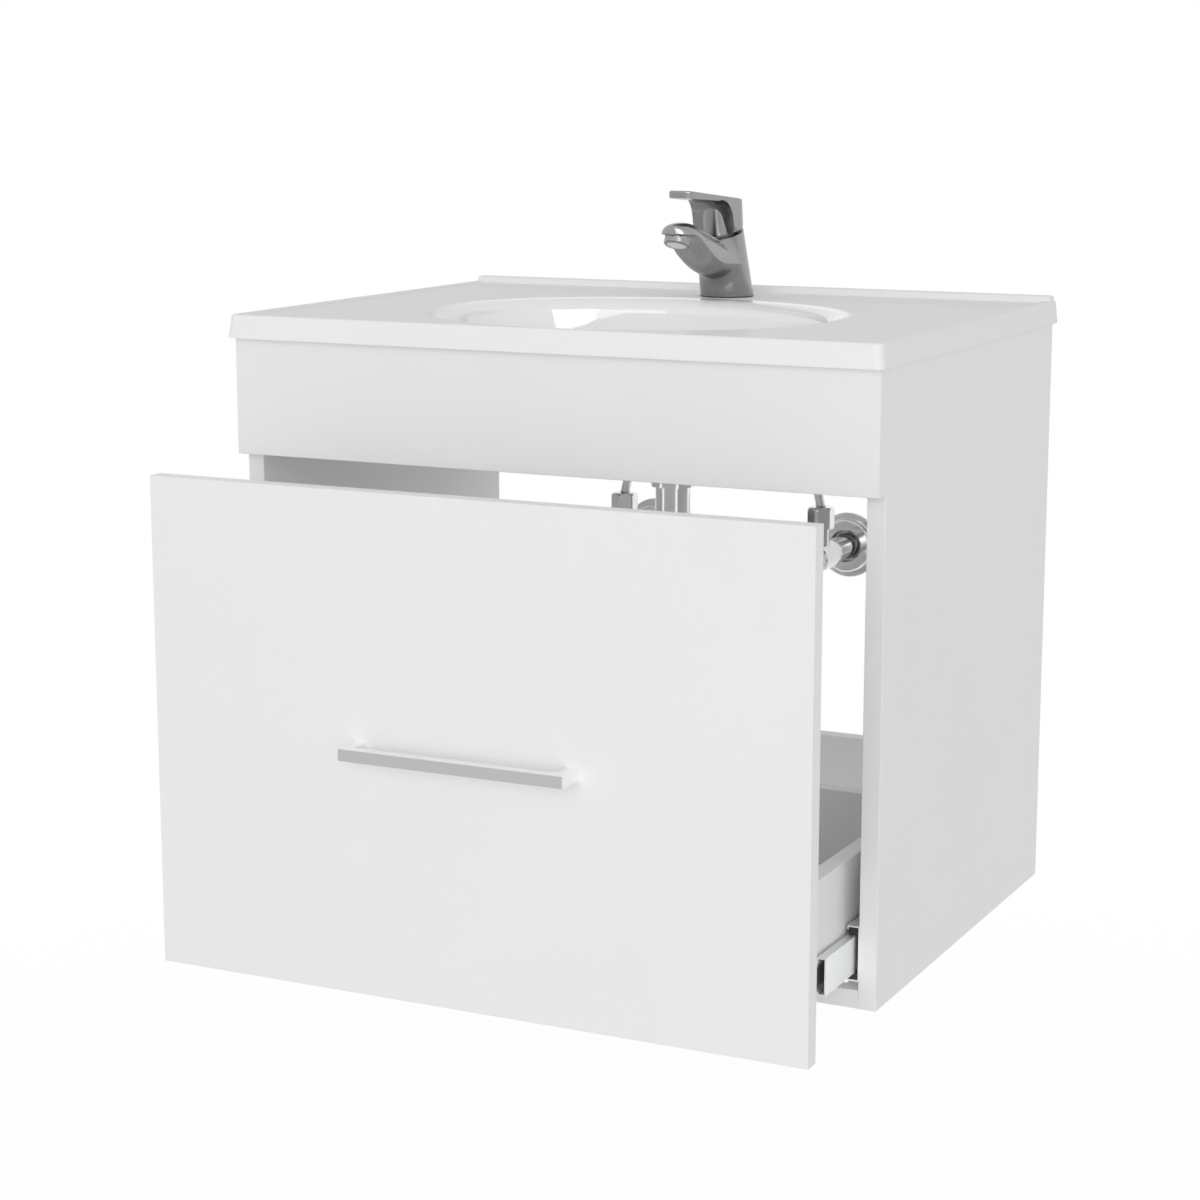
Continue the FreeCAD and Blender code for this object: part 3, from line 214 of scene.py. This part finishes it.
def spline_points(route):
    """Points along a smooth NURBS line with the route as its control points."""
    data = bpy.data.curves.new("hose_line", "CURVE")
    data.dimensions = "3D"
    data.resolution_u = hose_steps
    spline = data.splines.new("NURBS")
    spline.points.add(len(route) - 1)
    for point, place in zip(spline.points, route):
        point.co = (*place, 1.0)
    spline.order_u = 3
    spline.use_endpoint_u = True
    holder = bpy.data.objects.new("hose_line", data)
    mesh = bpy.data.meshes.new_from_object(holder)
    line = np.zeros(len(mesh.vertices) * 3)
    mesh.vertices.foreach_get("co", line)
    bpy.data.meshes.remove(mesh)
    bpy.data.curves.remove(data)
    return line.reshape(-1, 3)


def hose_tube(name, line):
    """A round tube: line + radius * (cos a * side + sin a * rise), with side and rise square to the line."""
    way = np.gradient(line, axis=0)
    way /= np.linalg.norm(way, axis=1, keepdims=True)
    side = np.cross(way, (0.0, 1.0, 0.0))
    side /= np.linalg.norm(side, axis=1, keepdims=True)
    rise = np.cross(way, side)
    turn = np.linspace(0, 2 * np.pi, hose_columns, endpoint=False)[None, :, None]
    ring_way = np.cos(turn) * side[:, None, :] + np.sin(turn) * rise[:, None, :]
    points = line[:, None, :] + hose_radius * ring_way
    along = np.concatenate([[0], np.cumsum(np.linalg.norm(np.diff(line, axis=0), axis=1))])
    ring = grid_faces(len(line), hose_columns) // hose_columns
    column = np.tile(np.arange(hose_columns), len(line) - 1)[:, None] + np.array([0, 1, 1, 0])[None, :]
    tube_map = np.stack([along[ring] * 1000, column / hose_columns], axis=-1).reshape(-1, 2)
    end_map = np.zeros((2 * 3 * hose_columns, 2))
    hose = new_piece(name, np.concatenate([points.reshape(-1, 3), line[[0, -1]]]),
                     turned_faces(len(line), hose_columns), np.concatenate([tube_map, end_map]))
    return hose, along[-1]


hoses = {}
for side_name, side in (("left", -1), ("right", 1)):
    route = [(side * x, y, z) for x, y, z in hose_route]
    hose_line = spline_points(route)
    hose, hose_length = hose_tube("braided_hose_" + side_name, hose_line)
    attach(hose, "cabinet")
    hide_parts("hose_" + side_name)
    hoses[side_name] = hose
    print(hose.name, "length", round(hose_length, 4))

# %% [markdown]
# ## The strainer in the tap's mouth
# Water leaves the tap through a small plastic sieve. It is a turned disc with rings of round pockets, and
# each ring has six pockets more than the one inside it. One height over radius and turn gives the whole
# face, so no pocket is cut one by one. The rim and the back close the disc, with one point at each pole.

# %% Strainer
mouth_centre = np.array((0.0, -0.171, 0.1312))
mouth_lean = math.radians(22.0)
mouth_way = np.array((0.0, -math.sin(mouth_lean), -math.cos(mouth_lean)))
strainer_seat = 0.0119
strainer_radius = 0.0088
strainer_height = 0.0010
strainer_columns = 180
strainer_rings = 44
pocket_pitch = 0.00147
pocket_depth = 0.0007


def strainer_face(radius, turn):
    """Height = full height - depth * sin(pi * share of a ring)^2 * cos(3 * (ring number) * turn)^2."""
    ring = np.floor(radius / pocket_pitch)
    share = radius / pocket_pitch - ring
    return strainer_height - pocket_depth * np.sin(np.pi * share) ** 2 * np.cos(3 * ring * turn) ** 2


def placed(across, ahead, along, foot, way):
    """Points given across, ahead and along an axis from foot in the direction way."""
    side = np.array((1.0, 0.0, 0.0))
    front = np.cross(way, side)
    return foot + across[..., None] * side + ahead[..., None] * front + along[..., None] * way


strainer_turn = np.linspace(0, 2 * np.pi, strainer_columns, endpoint=False)[None, :]
face_radius = np.linspace(0.05, 1.0, strainer_rings)[:, None] * strainer_radius
face_height = strainer_face(face_radius, strainer_turn)
back_radius = np.array([[1.0], [0.97], [0.2]]) * strainer_radius
back_height = np.array([[0.1], [0.0], [0.0]]) * strainer_height + 0 * strainer_turn
strainer_r = np.concatenate([face_radius, back_radius]) + 0 * strainer_turn
strainer_h = np.concatenate([face_height, back_height])
strainer_points = placed(strainer_r * np.cos(strainer_turn), -strainer_r * np.sin(strainer_turn), strainer_h,
                         mouth_centre + strainer_seat * mouth_way, mouth_way).reshape(-1, 3)
strainer_poles = mouth_centre + np.array([[strainer_seat + strainer_height], [strainer_seat]]) * mouth_way
strainer = new_piece("tap_strainer", np.concatenate([strainer_points, strainer_poles]),
                     turned_faces(len(strainer_r), strainer_columns))
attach(strainer, "cabinet")
print("strainer faces:", len(strainer.data.polygons))

# %% [markdown]
# ## The wall rings of the valves
# Each supply pipe leaves the wall through a chromed ring in two steps, with a hollow cove between them and
# a round recess in front. It is turned on a lathe, so one outline of radius against distance from the
# wall gives all of it. A Screw modifier could turn that outline, but the helpers that made the nuts do
# it as well, and leave a finished mesh.

# %% Wall rings
def ring_outline():
    """Closed line of (radius, distance from the wall): back plate, cove, front ring and recess."""
    back_plate = [[(11.1, 0.0), (29.7, 0.0)], corner_arc((29.9, 0.6), 0.6, -90, 0),
                  corner_arc((29.0, 3.0), 1.5, 0, 90), [(28.7, 4.5), (25.6, 4.5)]]
    cove = [corner_arc((25.2, 7.7), 3.2, -90, -180), [(22.2, 7.7), (22.8, 7.7)]]
    front_ring = [corner_arc((23.0, 8.7), 1.0, -90, 0), corner_arc((22.5, 10.5), 1.5, 0, 90),
                  [(22.2, 12.0), (15.8, 12.0)], corner_arc((15.5, 11.4), 0.6, 90, 180)]
    recess = [[(14.8, 11.0), (14.3, 6.2), (14.1, 6.0), (11.3, 5.0), (11.1, 4.8), (11.1, 0.2)]]
    return outline_of(back_plate + cove + front_ring + recess)


def turned_ring(name, outline, foot):
    """Foot + radius * (cos a, 0, sin a) - distance * y, for every point of the outline and turn a."""
    radius, ahead = outline[:, :1], outline[:, 1:] + 0 * ring_turn
    points = np.stack([radius * np.cos(ring_turn), -ahead, radius * np.sin(ring_turn)], axis=-1)
    return new_piece(name, points + foot, grid_faces(len(outline), ring_columns, closed_rings=True))


wall_rings = {}
for side_name, place in valve_places.items():
    wall_ring = turned_ring("wall_ring_" + side_name, ring_outline(), np.array(place))
    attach(wall_ring, "cabinet")
    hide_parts("valve_rosette_" + side_name)
    wall_rings[side_name] = wall_ring
print("wall rings:", len(wall_rings), "with", len(ring_outline()), "points in the outline")

# %% [markdown]
# ## Shared effects
# Real surfaces are never one flat value. Pictures could give the changes, but every piece would need a
# map for them, so noise does it here. Two small node groups serve all the finishes but the woven wire:
# one gives slow cloudy changes, for colour and gloss, and one gives fine lines that run in one direction,
# as brushing and rolling leave them. Both read the object's own coordinates, so they stay where they are.

# %% Node groups
def group_socket(group, name, kind, direction, value=None):
    """A named socket on a node group."""
    socket = group.interface.new_socket(name=name, in_out=direction, socket_type="NodeSocket" + kind)
    if value is not None:
        socket.default_value = value


def noise_mask(group, noise, amount):
    """1 + amount * (noise - 0.5)."""
    centred, scaled = group.nodes.new("ShaderNodeMath"), group.nodes.new("ShaderNodeMath")
    centred.operation = "SUBTRACT"
    centred.inputs[1].default_value = 0.5
    scaled.operation = "MULTIPLY_ADD"
    scaled.inputs[2].default_value = 1.0
    group.links.new(noise, centred.inputs[0])
    group.links.new(centred.outputs[0], scaled.inputs[0])
    group.links.new(amount, scaled.inputs[1])
    return scaled.outputs[0]


def cloud_group():
    """Mask: slow noise about 1. Height: the same kind of noise at a finer size, for a bump."""
    group = bpy.data.node_groups.new("surface_clouds", "ShaderNodeTree")
    group_socket(group, "Size", "Float", "INPUT", 20.0)
    group_socket(group, "Fine Size", "Float", "INPUT", 900.0)
    group_socket(group, "Amount", "Float", "INPUT", 0.1)
    group_socket(group, "Mask", "Float", "OUTPUT")
    group_socket(group, "Height", "Float", "OUTPUT")
    new, link = group.nodes.new, group.links.new
    inputs, outputs = new("NodeGroupInput"), new("NodeGroupOutput")
    place = new("ShaderNodeTexCoord")
    slow, fine = new("ShaderNodeTexNoise"), new("ShaderNodeTexNoise")
    slow.inputs["Detail"].default_value = 3.0
    fine.inputs["Detail"].default_value = 2.0
    for noise, size in ((slow, "Size"), (fine, "Fine Size")):
        link(place.outputs["Object"], noise.inputs["Vector"])
        link(inputs.outputs[size], noise.inputs["Scale"])
    link(noise_mask(group, slow.outputs["Fac"], inputs.outputs["Amount"]), outputs.inputs["Mask"])
    link(fine.outputs["Fac"], outputs.inputs["Height"])
    return group


def line_group():
    """Mask and Height: noise on coordinates that the Stretch vector multiplies, so that it runs in lines."""
    group = bpy.data.node_groups.new("drawn_lines", "ShaderNodeTree")
    group_socket(group, "Stretch", "Vector", "INPUT", (20.0, 4000.0, 4000.0))
    group_socket(group, "Amount", "Float", "INPUT", 0.1)
    group_socket(group, "Mask", "Float", "OUTPUT")
    group_socket(group, "Height", "Float", "OUTPUT")
    new, link = group.nodes.new, group.links.new
    inputs, outputs = new("NodeGroupInput"), new("NodeGroupOutput")
    place, squeeze, noise = new("ShaderNodeTexCoord"), new("ShaderNodeVectorMath"), new("ShaderNodeTexNoise")
    squeeze.operation = "MULTIPLY"
    noise.inputs["Scale"].default_value = 1.0
    noise.inputs["Detail"].default_value = 3.0
    link(place.outputs["Object"], squeeze.inputs[0])
    link(inputs.outputs["Stretch"], squeeze.inputs[1])
    link(squeeze.outputs["Vector"], noise.inputs["Vector"])
    link(noise_mask(group, noise.outputs["Fac"], inputs.outputs["Amount"]), outputs.inputs["Mask"])
    link(noise.outputs["Fac"], outputs.inputs["Height"])
    return group


clouds, drawn_lines = cloud_group(), line_group()
print("groups:", clouds.name, drawn_lines.name)

# %% [markdown]
# ## Finishes
# The boards have a white foil, the top is cast, the handle is brushed, and the rest is chrome, zinc-plated
# steel, plastic and rubber. Each finish could be wired by hand, but they share one pattern: a group's
# mask multiplies the base colour and the roughness of a Principled shader a little, and its height feeds
# a bump. So one helper wires that, and a second one makes the chromes, which differ in how sharp their
# mirror is and in a grey that is painted light and shade rather than the plating's own: the pipe, wall
# ring and nut chromes are paler against the dim inside of the cabinet, and the tap and valve chromes are
# darker for the dimmer surroundings they mirror. Values that are the same all over a surface are set on
# the shader itself.

# %% Finishes
def finish(name, colour, roughness, effect, settings, bump=0.0, bump_distance=0.0002, **constants):
    """A Principled material whose colour and roughness follow an effect group's mask."""
    material = bpy.data.materials.new(name)
    material.use_nodes = True
    tree = material.node_tree
    shader = tree.nodes["Principled BSDF"]
    group = tree.nodes.new("ShaderNodeGroup")
    group.node_tree = effect
    for key, value in settings.items():
        group.inputs[key].default_value = value
    tint = tree.nodes.new("ShaderNodeMix")
    tint.data_type = "RGBA"
    tint.blend_type = "MULTIPLY"
    tint.inputs["Factor"].default_value = 1.0
    tint.inputs["A"].default_value = (*colour, 1.0)
    tree.links.new(group.outputs["Mask"], tint.inputs["B"])
    tree.links.new(tint.outputs["Result"], shader.inputs["Base Color"])
    gloss = tree.nodes.new("ShaderNodeMath")
    gloss.operation = "MULTIPLY"
    gloss.inputs[1].default_value = roughness
    tree.links.new(group.outputs["Mask"], gloss.inputs[0])
    tree.links.new(gloss.outputs[0], shader.inputs["Roughness"])
    if bump:
        relief = tree.nodes.new("ShaderNodeBump")
        relief.inputs["Strength"].default_value = bump
        relief.inputs["Distance"].default_value = bump_distance
        tree.links.new(group.outputs["Height"], relief.inputs["Height"])
        tree.links.new(relief.outputs["Normal"], shader.inputs["Normal"])
    for key, value in constants.items():
        shader.inputs[key.replace("_", " ").title().replace("Ior", "IOR")].default_value = value
    return material


def chrome(name, grey, roughness, size, fine_size, amount=0.10, bump=0.015):
    """A polished metal of one grey with a trace of blue."""
    return finish(name, (grey, grey, grey + 0.005), roughness, clouds,
                  {"Size": size, "Fine Size": fine_size, "Amount": amount}, bump=bump, metallic=1.0)


board_foil = finish("white_board_foil", (0.89, 0.89, 0.89), 0.42, clouds,
                    {"Size": 9.0, "Fine Size": 2600.0, "Amount": 0.03}, bump=0.06, bump_distance=0.0001)
basin_gloss = finish("cast_basin_gloss", (0.93, 0.93, 0.93), 0.30, clouds,
                     {"Size": 14.0, "Fine Size": 24.0, "Amount": 0.02}, bump=0.02, bump_distance=0.0004,
                     specular_ior_level=0.0, coat_roughness=0.03, coat_ior=1.8)
# Painted light and shade in these greys: paler pipe, ring and nut chrome against the dim cabinet, darker tap
# and valve chrome.
tap_chrome = chrome("polished_tap", 0.32, 0.25, 60.0, 700.0, amount=0.14, bump=0.02)
pipe_chrome = chrome("polished_pipe", 0.95, 0.12, 45.0, 600.0)
valve_chrome = chrome("polished_valve", 0.62, 0.12, 70.0, 800.0)
nut_chrome = chrome("polished_nut", 0.78, 0.10, 70.0, 800.0)
knob_chrome = chrome("polished_knob", 0.42, 0.18, 70.0, 800.0)
zinc_sheet = finish("zinc_sheet", (0.86, 0.865, 0.87), 0.42, drawn_lines,
                    {"Stretch": (1800.0, 14.0, 1800.0), "Amount": 0.08}, bump=0.03, metallic=1.0)
# Painted shade: the brushed front is a darker grey than the polished sides of the same metal.
satin_bar = finish("satin_bar", (0.50, 0.50, 0.505), 0.33, drawn_lines,
                   {"Stretch": (14.0, 2600.0, 2600.0), "Amount": 0.20}, bump=0.06, metallic=1.0)
black_moulding = finish("black_moulding", (0.018, 0.018, 0.019), 0.45, clouds,
                        {"Size": 80.0, "Fine Size": 3000.0, "Amount": 0.2}, bump=0.1)
pale_moulding = finish("pale_moulding", (0.78, 0.78, 0.76), 0.38, clouds,
                       {"Size": 70.0, "Fine Size": 2500.0, "Amount": 0.06}, bump=0.06)
soft_rubber = finish("soft_rubber", (0.035, 0.035, 0.036), 0.62, clouds,
                     {"Size": 90.0, "Fine Size": 2200.0, "Amount": 0.2}, bump=0.12)
print("finishes:", len(bpy.data.materials))

# %% [markdown]
# ## The polished bowl
# The cast top is satin on its flat deck, where hands and cloths rub it, and polished in the bowl, where
# water runs off. A clear coat gives the polish, and a trace of it lies on the deck too. The bowl is also
# painted a little whiter than the deck: painted light, for the brighter light that its walls catch.
# Two materials would meet in a hard line of faces. So one mask, 1 inside the oval of the bowl and 0
# outside it, sets the coat and the painted lighter colour, and its soft edge lies along the rim.

# %% Bowl polish
bowl_centre = (0.0, -0.248, 0.0)
bowl_half = (0.179, 0.150)
bowl_edge = (1.03, 0.97)
bowl_painted_light_colour = (0.97, 0.97, 0.97, 1.0)
deck_polish = 0.12


def polish_bowl_and_paint_light(material):
    """Mask = smooth step over the bowl's edge of ((x / a)^2 + (y / b)^2)^0.5 about its centre."""
    tree = material.node_tree
    new, link = tree.nodes.new, tree.links.new
    shader, tint = tree.nodes["Principled BSDF"], tree.nodes["Mix"]
    place, centred, oval, reach, mask, coat, colour = (new("ShaderNode" + kind) for kind in (
        "TexCoord", "VectorMath", "VectorMath", "VectorMath", "MapRange", "MapRange", "Mix"))
    centred.operation, oval.operation, reach.operation = "SUBTRACT", "MULTIPLY", "LENGTH"
    centred.inputs[1].default_value = bowl_centre
    oval.inputs[1].default_value = (1 / bowl_half[0], 1 / bowl_half[1], 0.0)
    mask.interpolation_type = "SMOOTHSTEP"
    mask.inputs["From Min"].default_value = bowl_edge[0]
    mask.inputs["From Max"].default_value = bowl_edge[1]
    coat.inputs["To Min"].default_value = deck_polish
    # Painted light: inside the bowl the colour turns whiter than the deck.
    colour.data_type = "RGBA"
    colour.inputs["A"].default_value = tint.inputs["A"].default_value[:]
    colour.inputs["B"].default_value = bowl_painted_light_colour
    link(place.outputs["Object"], centred.inputs[0])
    link(centred.outputs["Vector"], oval.inputs[0])
    link(oval.outputs["Vector"], reach.inputs[0])
    link(reach.outputs["Value"], mask.inputs["Value"])
    link(mask.outputs["Result"], coat.inputs["Value"])
    link(mask.outputs["Result"], colour.inputs["Factor"])
    link(coat.outputs["Result"], shader.inputs["Coat Weight"])
    link(colour.outputs["Result"], tint.inputs["A"])


polish_bowl_and_paint_light(basin_gloss)
print("bowl polished inside", bowl_half)

# %% [markdown]
# ## The bar handle
# The bar of the handle is brushed on the face that shows most, and polished on its other faces and posts.
# The polished faces are also painted much paler than the brushed front: a painted reflection of the white
# studio on the sides, and painted shade on the front, which mirrors the darker room behind the camera.
# The faces could be sorted by the way they point. But the front one lies at a known distance from the
# wall, so a mask on that distance parts the two finishes with less work.

# %% Handle polish
bar_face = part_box("drawer_handle")[0][1]
polish_start, polish_end = 0.0002, 0.0008
sides_painted_reflection_colour = (0.93, 0.93, 0.935, 1.0)
polished_roughness = 0.16


def polish_sides_and_paint_reflection(material):
    """Mask = smooth step of the distance behind the bar's front face, 0 on that face and 1 behind it."""
    tree = material.node_tree
    new, link = tree.nodes.new, tree.links.new
    shader, tint, brushed = tree.nodes["Principled BSDF"], tree.nodes["Mix"], tree.nodes["Math"]
    place, parts, mask, colour, gloss = (new("ShaderNode" + kind) for kind in (
        "TexCoord", "SeparateXYZ", "MapRange", "Mix", "Mix"))
    mask.interpolation_type = "SMOOTHSTEP"
    mask.inputs["From Min"].default_value = bar_face + polish_start
    mask.inputs["From Max"].default_value = bar_face + polish_end
    # Painted reflection: behind the front face the colour turns much paler.
    colour.data_type = "RGBA"
    colour.inputs["A"].default_value = tint.inputs["A"].default_value[:]
    colour.inputs["B"].default_value = sides_painted_reflection_colour
    gloss.inputs["B"].default_value = polished_roughness
    link(place.outputs["Object"], parts.inputs["Vector"])
    link(parts.outputs["Y"], mask.inputs["Value"])
    link(mask.outputs["Result"], colour.inputs["Factor"])
    link(mask.outputs["Result"], gloss.inputs["Factor"])
    link(colour.outputs["Result"], tint.inputs["A"])
    link(brushed.outputs[0], gloss.inputs["A"])
    link(gloss.outputs["Result"], shader.inputs["Roughness"])


polish_sides_and_paint_reflection(satin_bar)
print("bar brushed at y =", round(bar_face, 4))

# %% [markdown]
# ## Woven wire
# The hose's cover is steel wire braided in two directions. Strands made one by one would be finer than
# the picture can show, so two families of sloping waves run over the tube's own map, one along each
# diagonal, and the larger of the two is on top at each place. That one height makes the bump and darkens
# the gaps. The pitch of the wire is in millimetres, as that map is.

# %% Braid
wire_pitch = 2.4
wire_count = 10
wire_gap_grey, wire_top_grey = 0.5, 0.9
wire_roughness = 0.22
wire_relief = 0.35
wire_height = 0.0004


def braid_finish():
    """Height = max(sin(p + q), sin(p - q)), p along the hose and q round it."""
    material = bpy.data.materials.new("woven_wire")
    material.use_nodes = True
    tree = material.node_tree
    new, link = tree.nodes.new, tree.links.new
    shader = tree.nodes["Principled BSDF"]
    shader.inputs["Metallic"].default_value = 1.0
    shader.inputs["Roughness"].default_value = wire_roughness
    chart, parts = new("ShaderNodeUVMap"), new("ShaderNodeSeparateXYZ")
    chart.uv_map = "along_and_round"
    link(chart.outputs["UV"], parts.inputs["Vector"])
    along, turn = new("ShaderNodeMath"), new("ShaderNodeMath")
    along.operation = turn.operation = "MULTIPLY"
    along.inputs[1].default_value = 2 * math.pi / wire_pitch
    turn.inputs[1].default_value = 2 * math.pi * wire_count
    link(parts.outputs["X"], along.inputs[0])
    link(parts.outputs["Y"], turn.inputs[0])
    waves = []
    for sign in ("ADD", "SUBTRACT"):
        phase, wave = new("ShaderNodeMath"), new("ShaderNodeMath")
        phase.operation, wave.operation = sign, "SINE"
        link(along.outputs[0], phase.inputs[0])
        link(turn.outputs[0], phase.inputs[1])
        link(phase.outputs[0], wave.inputs[0])
        waves.append(wave)
    top = new("ShaderNodeMath")
    top.operation = "MAXIMUM"
    link(waves[0].outputs[0], top.inputs[0])
    link(waves[1].outputs[0], top.inputs[1])
    shade, relief = new("ShaderNodeMapRange"), new("ShaderNodeBump")
    shade.inputs["From Min"].default_value = -1.0
    shade.inputs["To Min"].default_value = wire_gap_grey
    shade.inputs["To Max"].default_value = wire_top_grey
    relief.inputs["Strength"].default_value = wire_relief
    relief.inputs["Distance"].default_value = wire_height
    link(top.outputs[0], shade.inputs["Value"])
    link(shade.outputs["Result"], shader.inputs["Base Color"])
    link(top.outputs[0], relief.inputs["Height"])
    link(relief.outputs["Normal"], shader.inputs["Normal"])
    return material


hose_braid = braid_finish()
print("braid:", hose_braid.name)

# %% [markdown]
# ## Which piece gets which finish
# The record names a material slot for every node. Nodes could be dressed one by one, but one table that
# turns a slot into the finish made above takes care of them all. Only the valves and the fittings of the
# hoses then get chromes of their own, and the pieces made here follow.

# %% Finishes on the nodes
finish_of_slot = {"white_board": board_foil, "cast_basin": basin_gloss, "zinc_steel": zinc_sheet,
                  "black_plastic": black_moulding, "white_plastic": pale_moulding, "rubber": soft_rubber,
                  "tap_chrome": tap_chrome, "pipe_chrome": pipe_chrome, "satin_metal": satin_bar,
                  "hose_braid": hose_braid}


def dress(piece, material):
    """One material on the whole piece."""
    piece.data.materials.clear()
    piece.data.materials.append(material)


for row in frame["record"]["subparts"]:
    dress(nodes[row["node"]], finish_of_slot[row["material_slot"]])
for side_name in valve_places:
    dress(nodes["valve_body_" + side_name], valve_chrome)
    dress(nodes["valve_knob_" + side_name], knob_chrome)
    dress(nodes["hose_tip_" + side_name], valve_chrome)
    dress(hose_nuts[side_name], nut_chrome)
    dress(wall_rings[side_name], pipe_chrome)
    dress(hoses[side_name], hose_braid)
dress(strainer, pale_moulding)

# %% [markdown]
# ## The floor
# The unit hangs on a wall that the picture leaves out, over a pale floor at the usual height: the rim is
# 0.85 m above it. More light would make the floor white, but would bleach the boards as well. So the
# floor is nearly white by itself to the camera and in reflections, keeps a trace of the unit's shadow,
# and is plain white further out, where it meets the background.

# %% Floor
floor_level = -0.78
floor_half = 30.0
floor_middle = (0.0, -0.25, floor_level)
floor_colour = (0.9, 0.9, 0.9, 1.0)
floor_white_share = 0.96
floor_near = 0.35
floor_far = 1.5
seen_rays = ("Is Camera Ray", "Is Glossy Ray", "Is Transmission Ray")


def ray_of(tree, kinds):
    """The largest of some Light Path outputs: 1 for a ray of any of these kinds."""
    path = tree.nodes.new("ShaderNodeLightPath")
    result = path.outputs[kinds[0]]
    for kind in kinds[1:]:
        larger = tree.nodes.new("ShaderNodeMath")
        larger.operation = "MAXIMUM"
        tree.links.new(result, larger.inputs[0])
        tree.links.new(path.outputs[kind], larger.inputs[1])
        result = larger.outputs[0]
    return result


def floor_material():
    """Pale and matt, with a light shadow under the unit, and plain white to the camera further out."""
    material = bpy.data.materials.new("studio_floor")
    material.use_nodes = True
    tree = material.node_tree
    shader = tree.nodes["Principled BSDF"]
    shader.inputs["Base Color"].default_value = floor_colour
    shader.inputs["Roughness"].default_value = 0.9
    white, blend, share, place, distance, fade = (tree.nodes.new("ShaderNode" + kind) for kind in (
        "Emission", "MixShader", "Math", "TexCoord", "VectorMath", "MapRange"))
    distance.operation = "DISTANCE"
    distance.inputs[1].default_value = floor_middle
    fade.interpolation_type = "SMOOTHSTEP"
    fade.inputs["From Min"].default_value = floor_near
    fade.inputs["From Max"].default_value = floor_far
    fade.inputs["To Min"].default_value = floor_white_share
    share.operation = "MULTIPLY"
    tree.links.new(place.outputs["Object"], distance.inputs[0])
    tree.links.new(distance.outputs["Value"], fade.inputs["Value"])
    tree.links.new(fade.outputs["Result"], share.inputs[1])
    tree.links.new(ray_of(tree, seen_rays), share.inputs[0])
    tree.links.new(share.outputs[0], blend.inputs["Fac"])
    tree.links.new(shader.outputs["BSDF"], blend.inputs[1])
    tree.links.new(white.outputs["Emission"], blend.inputs[2])
    tree.links.new(blend.outputs["Shader"], tree.nodes["Material Output"].inputs["Surface"])
    return material


def studio_floor():
    """A large flat square under the unit."""
    corner = np.array([[-1, -1], [1, -1], [1, 1], [-1, 1]]) * floor_half
    points = np.concatenate([corner, np.full((4, 1), floor_level)], axis=1)
    floor = new_piece("studio_floor", points, np.array([[0, 1, 2, 3]]))
    dress(floor, floor_material())


studio_floor()
print("floor at z =", floor_level)

# %% [markdown]
# ## The world and the lamps
# A studio has pale walls all round. The world stands for them: it is white to the camera and in
# reflections, and dimmer as a lamp, so the background stays white while the boards keep their shading.
# A large soft lamp stands far off in front, a weak one at the side, and one in the shape of a window,
# which only reflections show.

# %% World and lamps
world_level = 0.76
world_overhead = 0.55
lamp_places = {"front_lamp": (1.8, -7.7, 1.1), "side_lamp": (3.2, -1.2, 1.2),
               "window_lamp": (1.76, -2.2, 0.75)}
lamp_sizes = {"front_lamp": (6.0, 6.0), "side_lamp": (3.0, 3.0), "window_lamp": (1.3, 1.8)}
lamp_watts = {"front_lamp": 190.0, "side_lamp": 2.0, "window_lamp": 26.0}


def soft_lamp(name, place, target, size, watts):
    """An area lamp of some width and height that faces the target."""
    data = bpy.data.lights.new(name, "AREA")
    data.shape = "RECTANGLE"
    data.size, data.size_y = size
    data.energy = watts
    lamp = bpy.data.objects.new(name, data)
    lamp.location = place
    away = np.array(place) - np.array(target)
    lamp.rotation_euler = (math.atan2(math.hypot(away[0], away[1]), away[2]), 0.0,
                           math.atan2(away[1], away[0]) + math.pi / 2)
    bpy.context.scene.collection.objects.link(lamp)
    return lamp


def white_world(horizon, zenith):
    """White to camera, glossy and transmission rays; a lamp for the rest, weaker overhead than level."""
    world = bpy.data.worlds.new("studio_world")
    bpy.context.scene.world = world
    world.use_nodes = True
    tree = world.node_tree
    background = tree.nodes["Background"]
    background.inputs["Color"].default_value = (1.0, 1.0, 1.0, 1.0)
    way, parts, lamp, strength = (tree.nodes.new("ShaderNode" + kind) for kind in (
        "TexCoord", "SeparateXYZ", "MapRange", "MapRange"))
    lamp.inputs["To Min"].default_value = horizon
    lamp.inputs["To Max"].default_value = zenith
    tree.links.new(way.outputs["Generated"], parts.inputs["Vector"])
    tree.links.new(parts.outputs["Z"], lamp.inputs["Value"])
    tree.links.new(lamp.outputs["Result"], strength.inputs["To Min"])
    tree.links.new(ray_of(tree, seen_rays), strength.inputs["Value"])
    tree.links.new(strength.outputs["Result"], background.inputs["Strength"])


white_world(world_level, world_overhead)
unit_middle = tuple((cad_low + cad_high) / 2)
lamps = {name: soft_lamp(name, place, unit_middle, lamp_sizes[name], lamp_watts[name])
         for name, place in lamp_places.items()}
lamps["window_lamp"].visible_diffuse = False
bpy.context.scene.view_settings.view_transform = "Standard"
print("lamps:", *lamps)
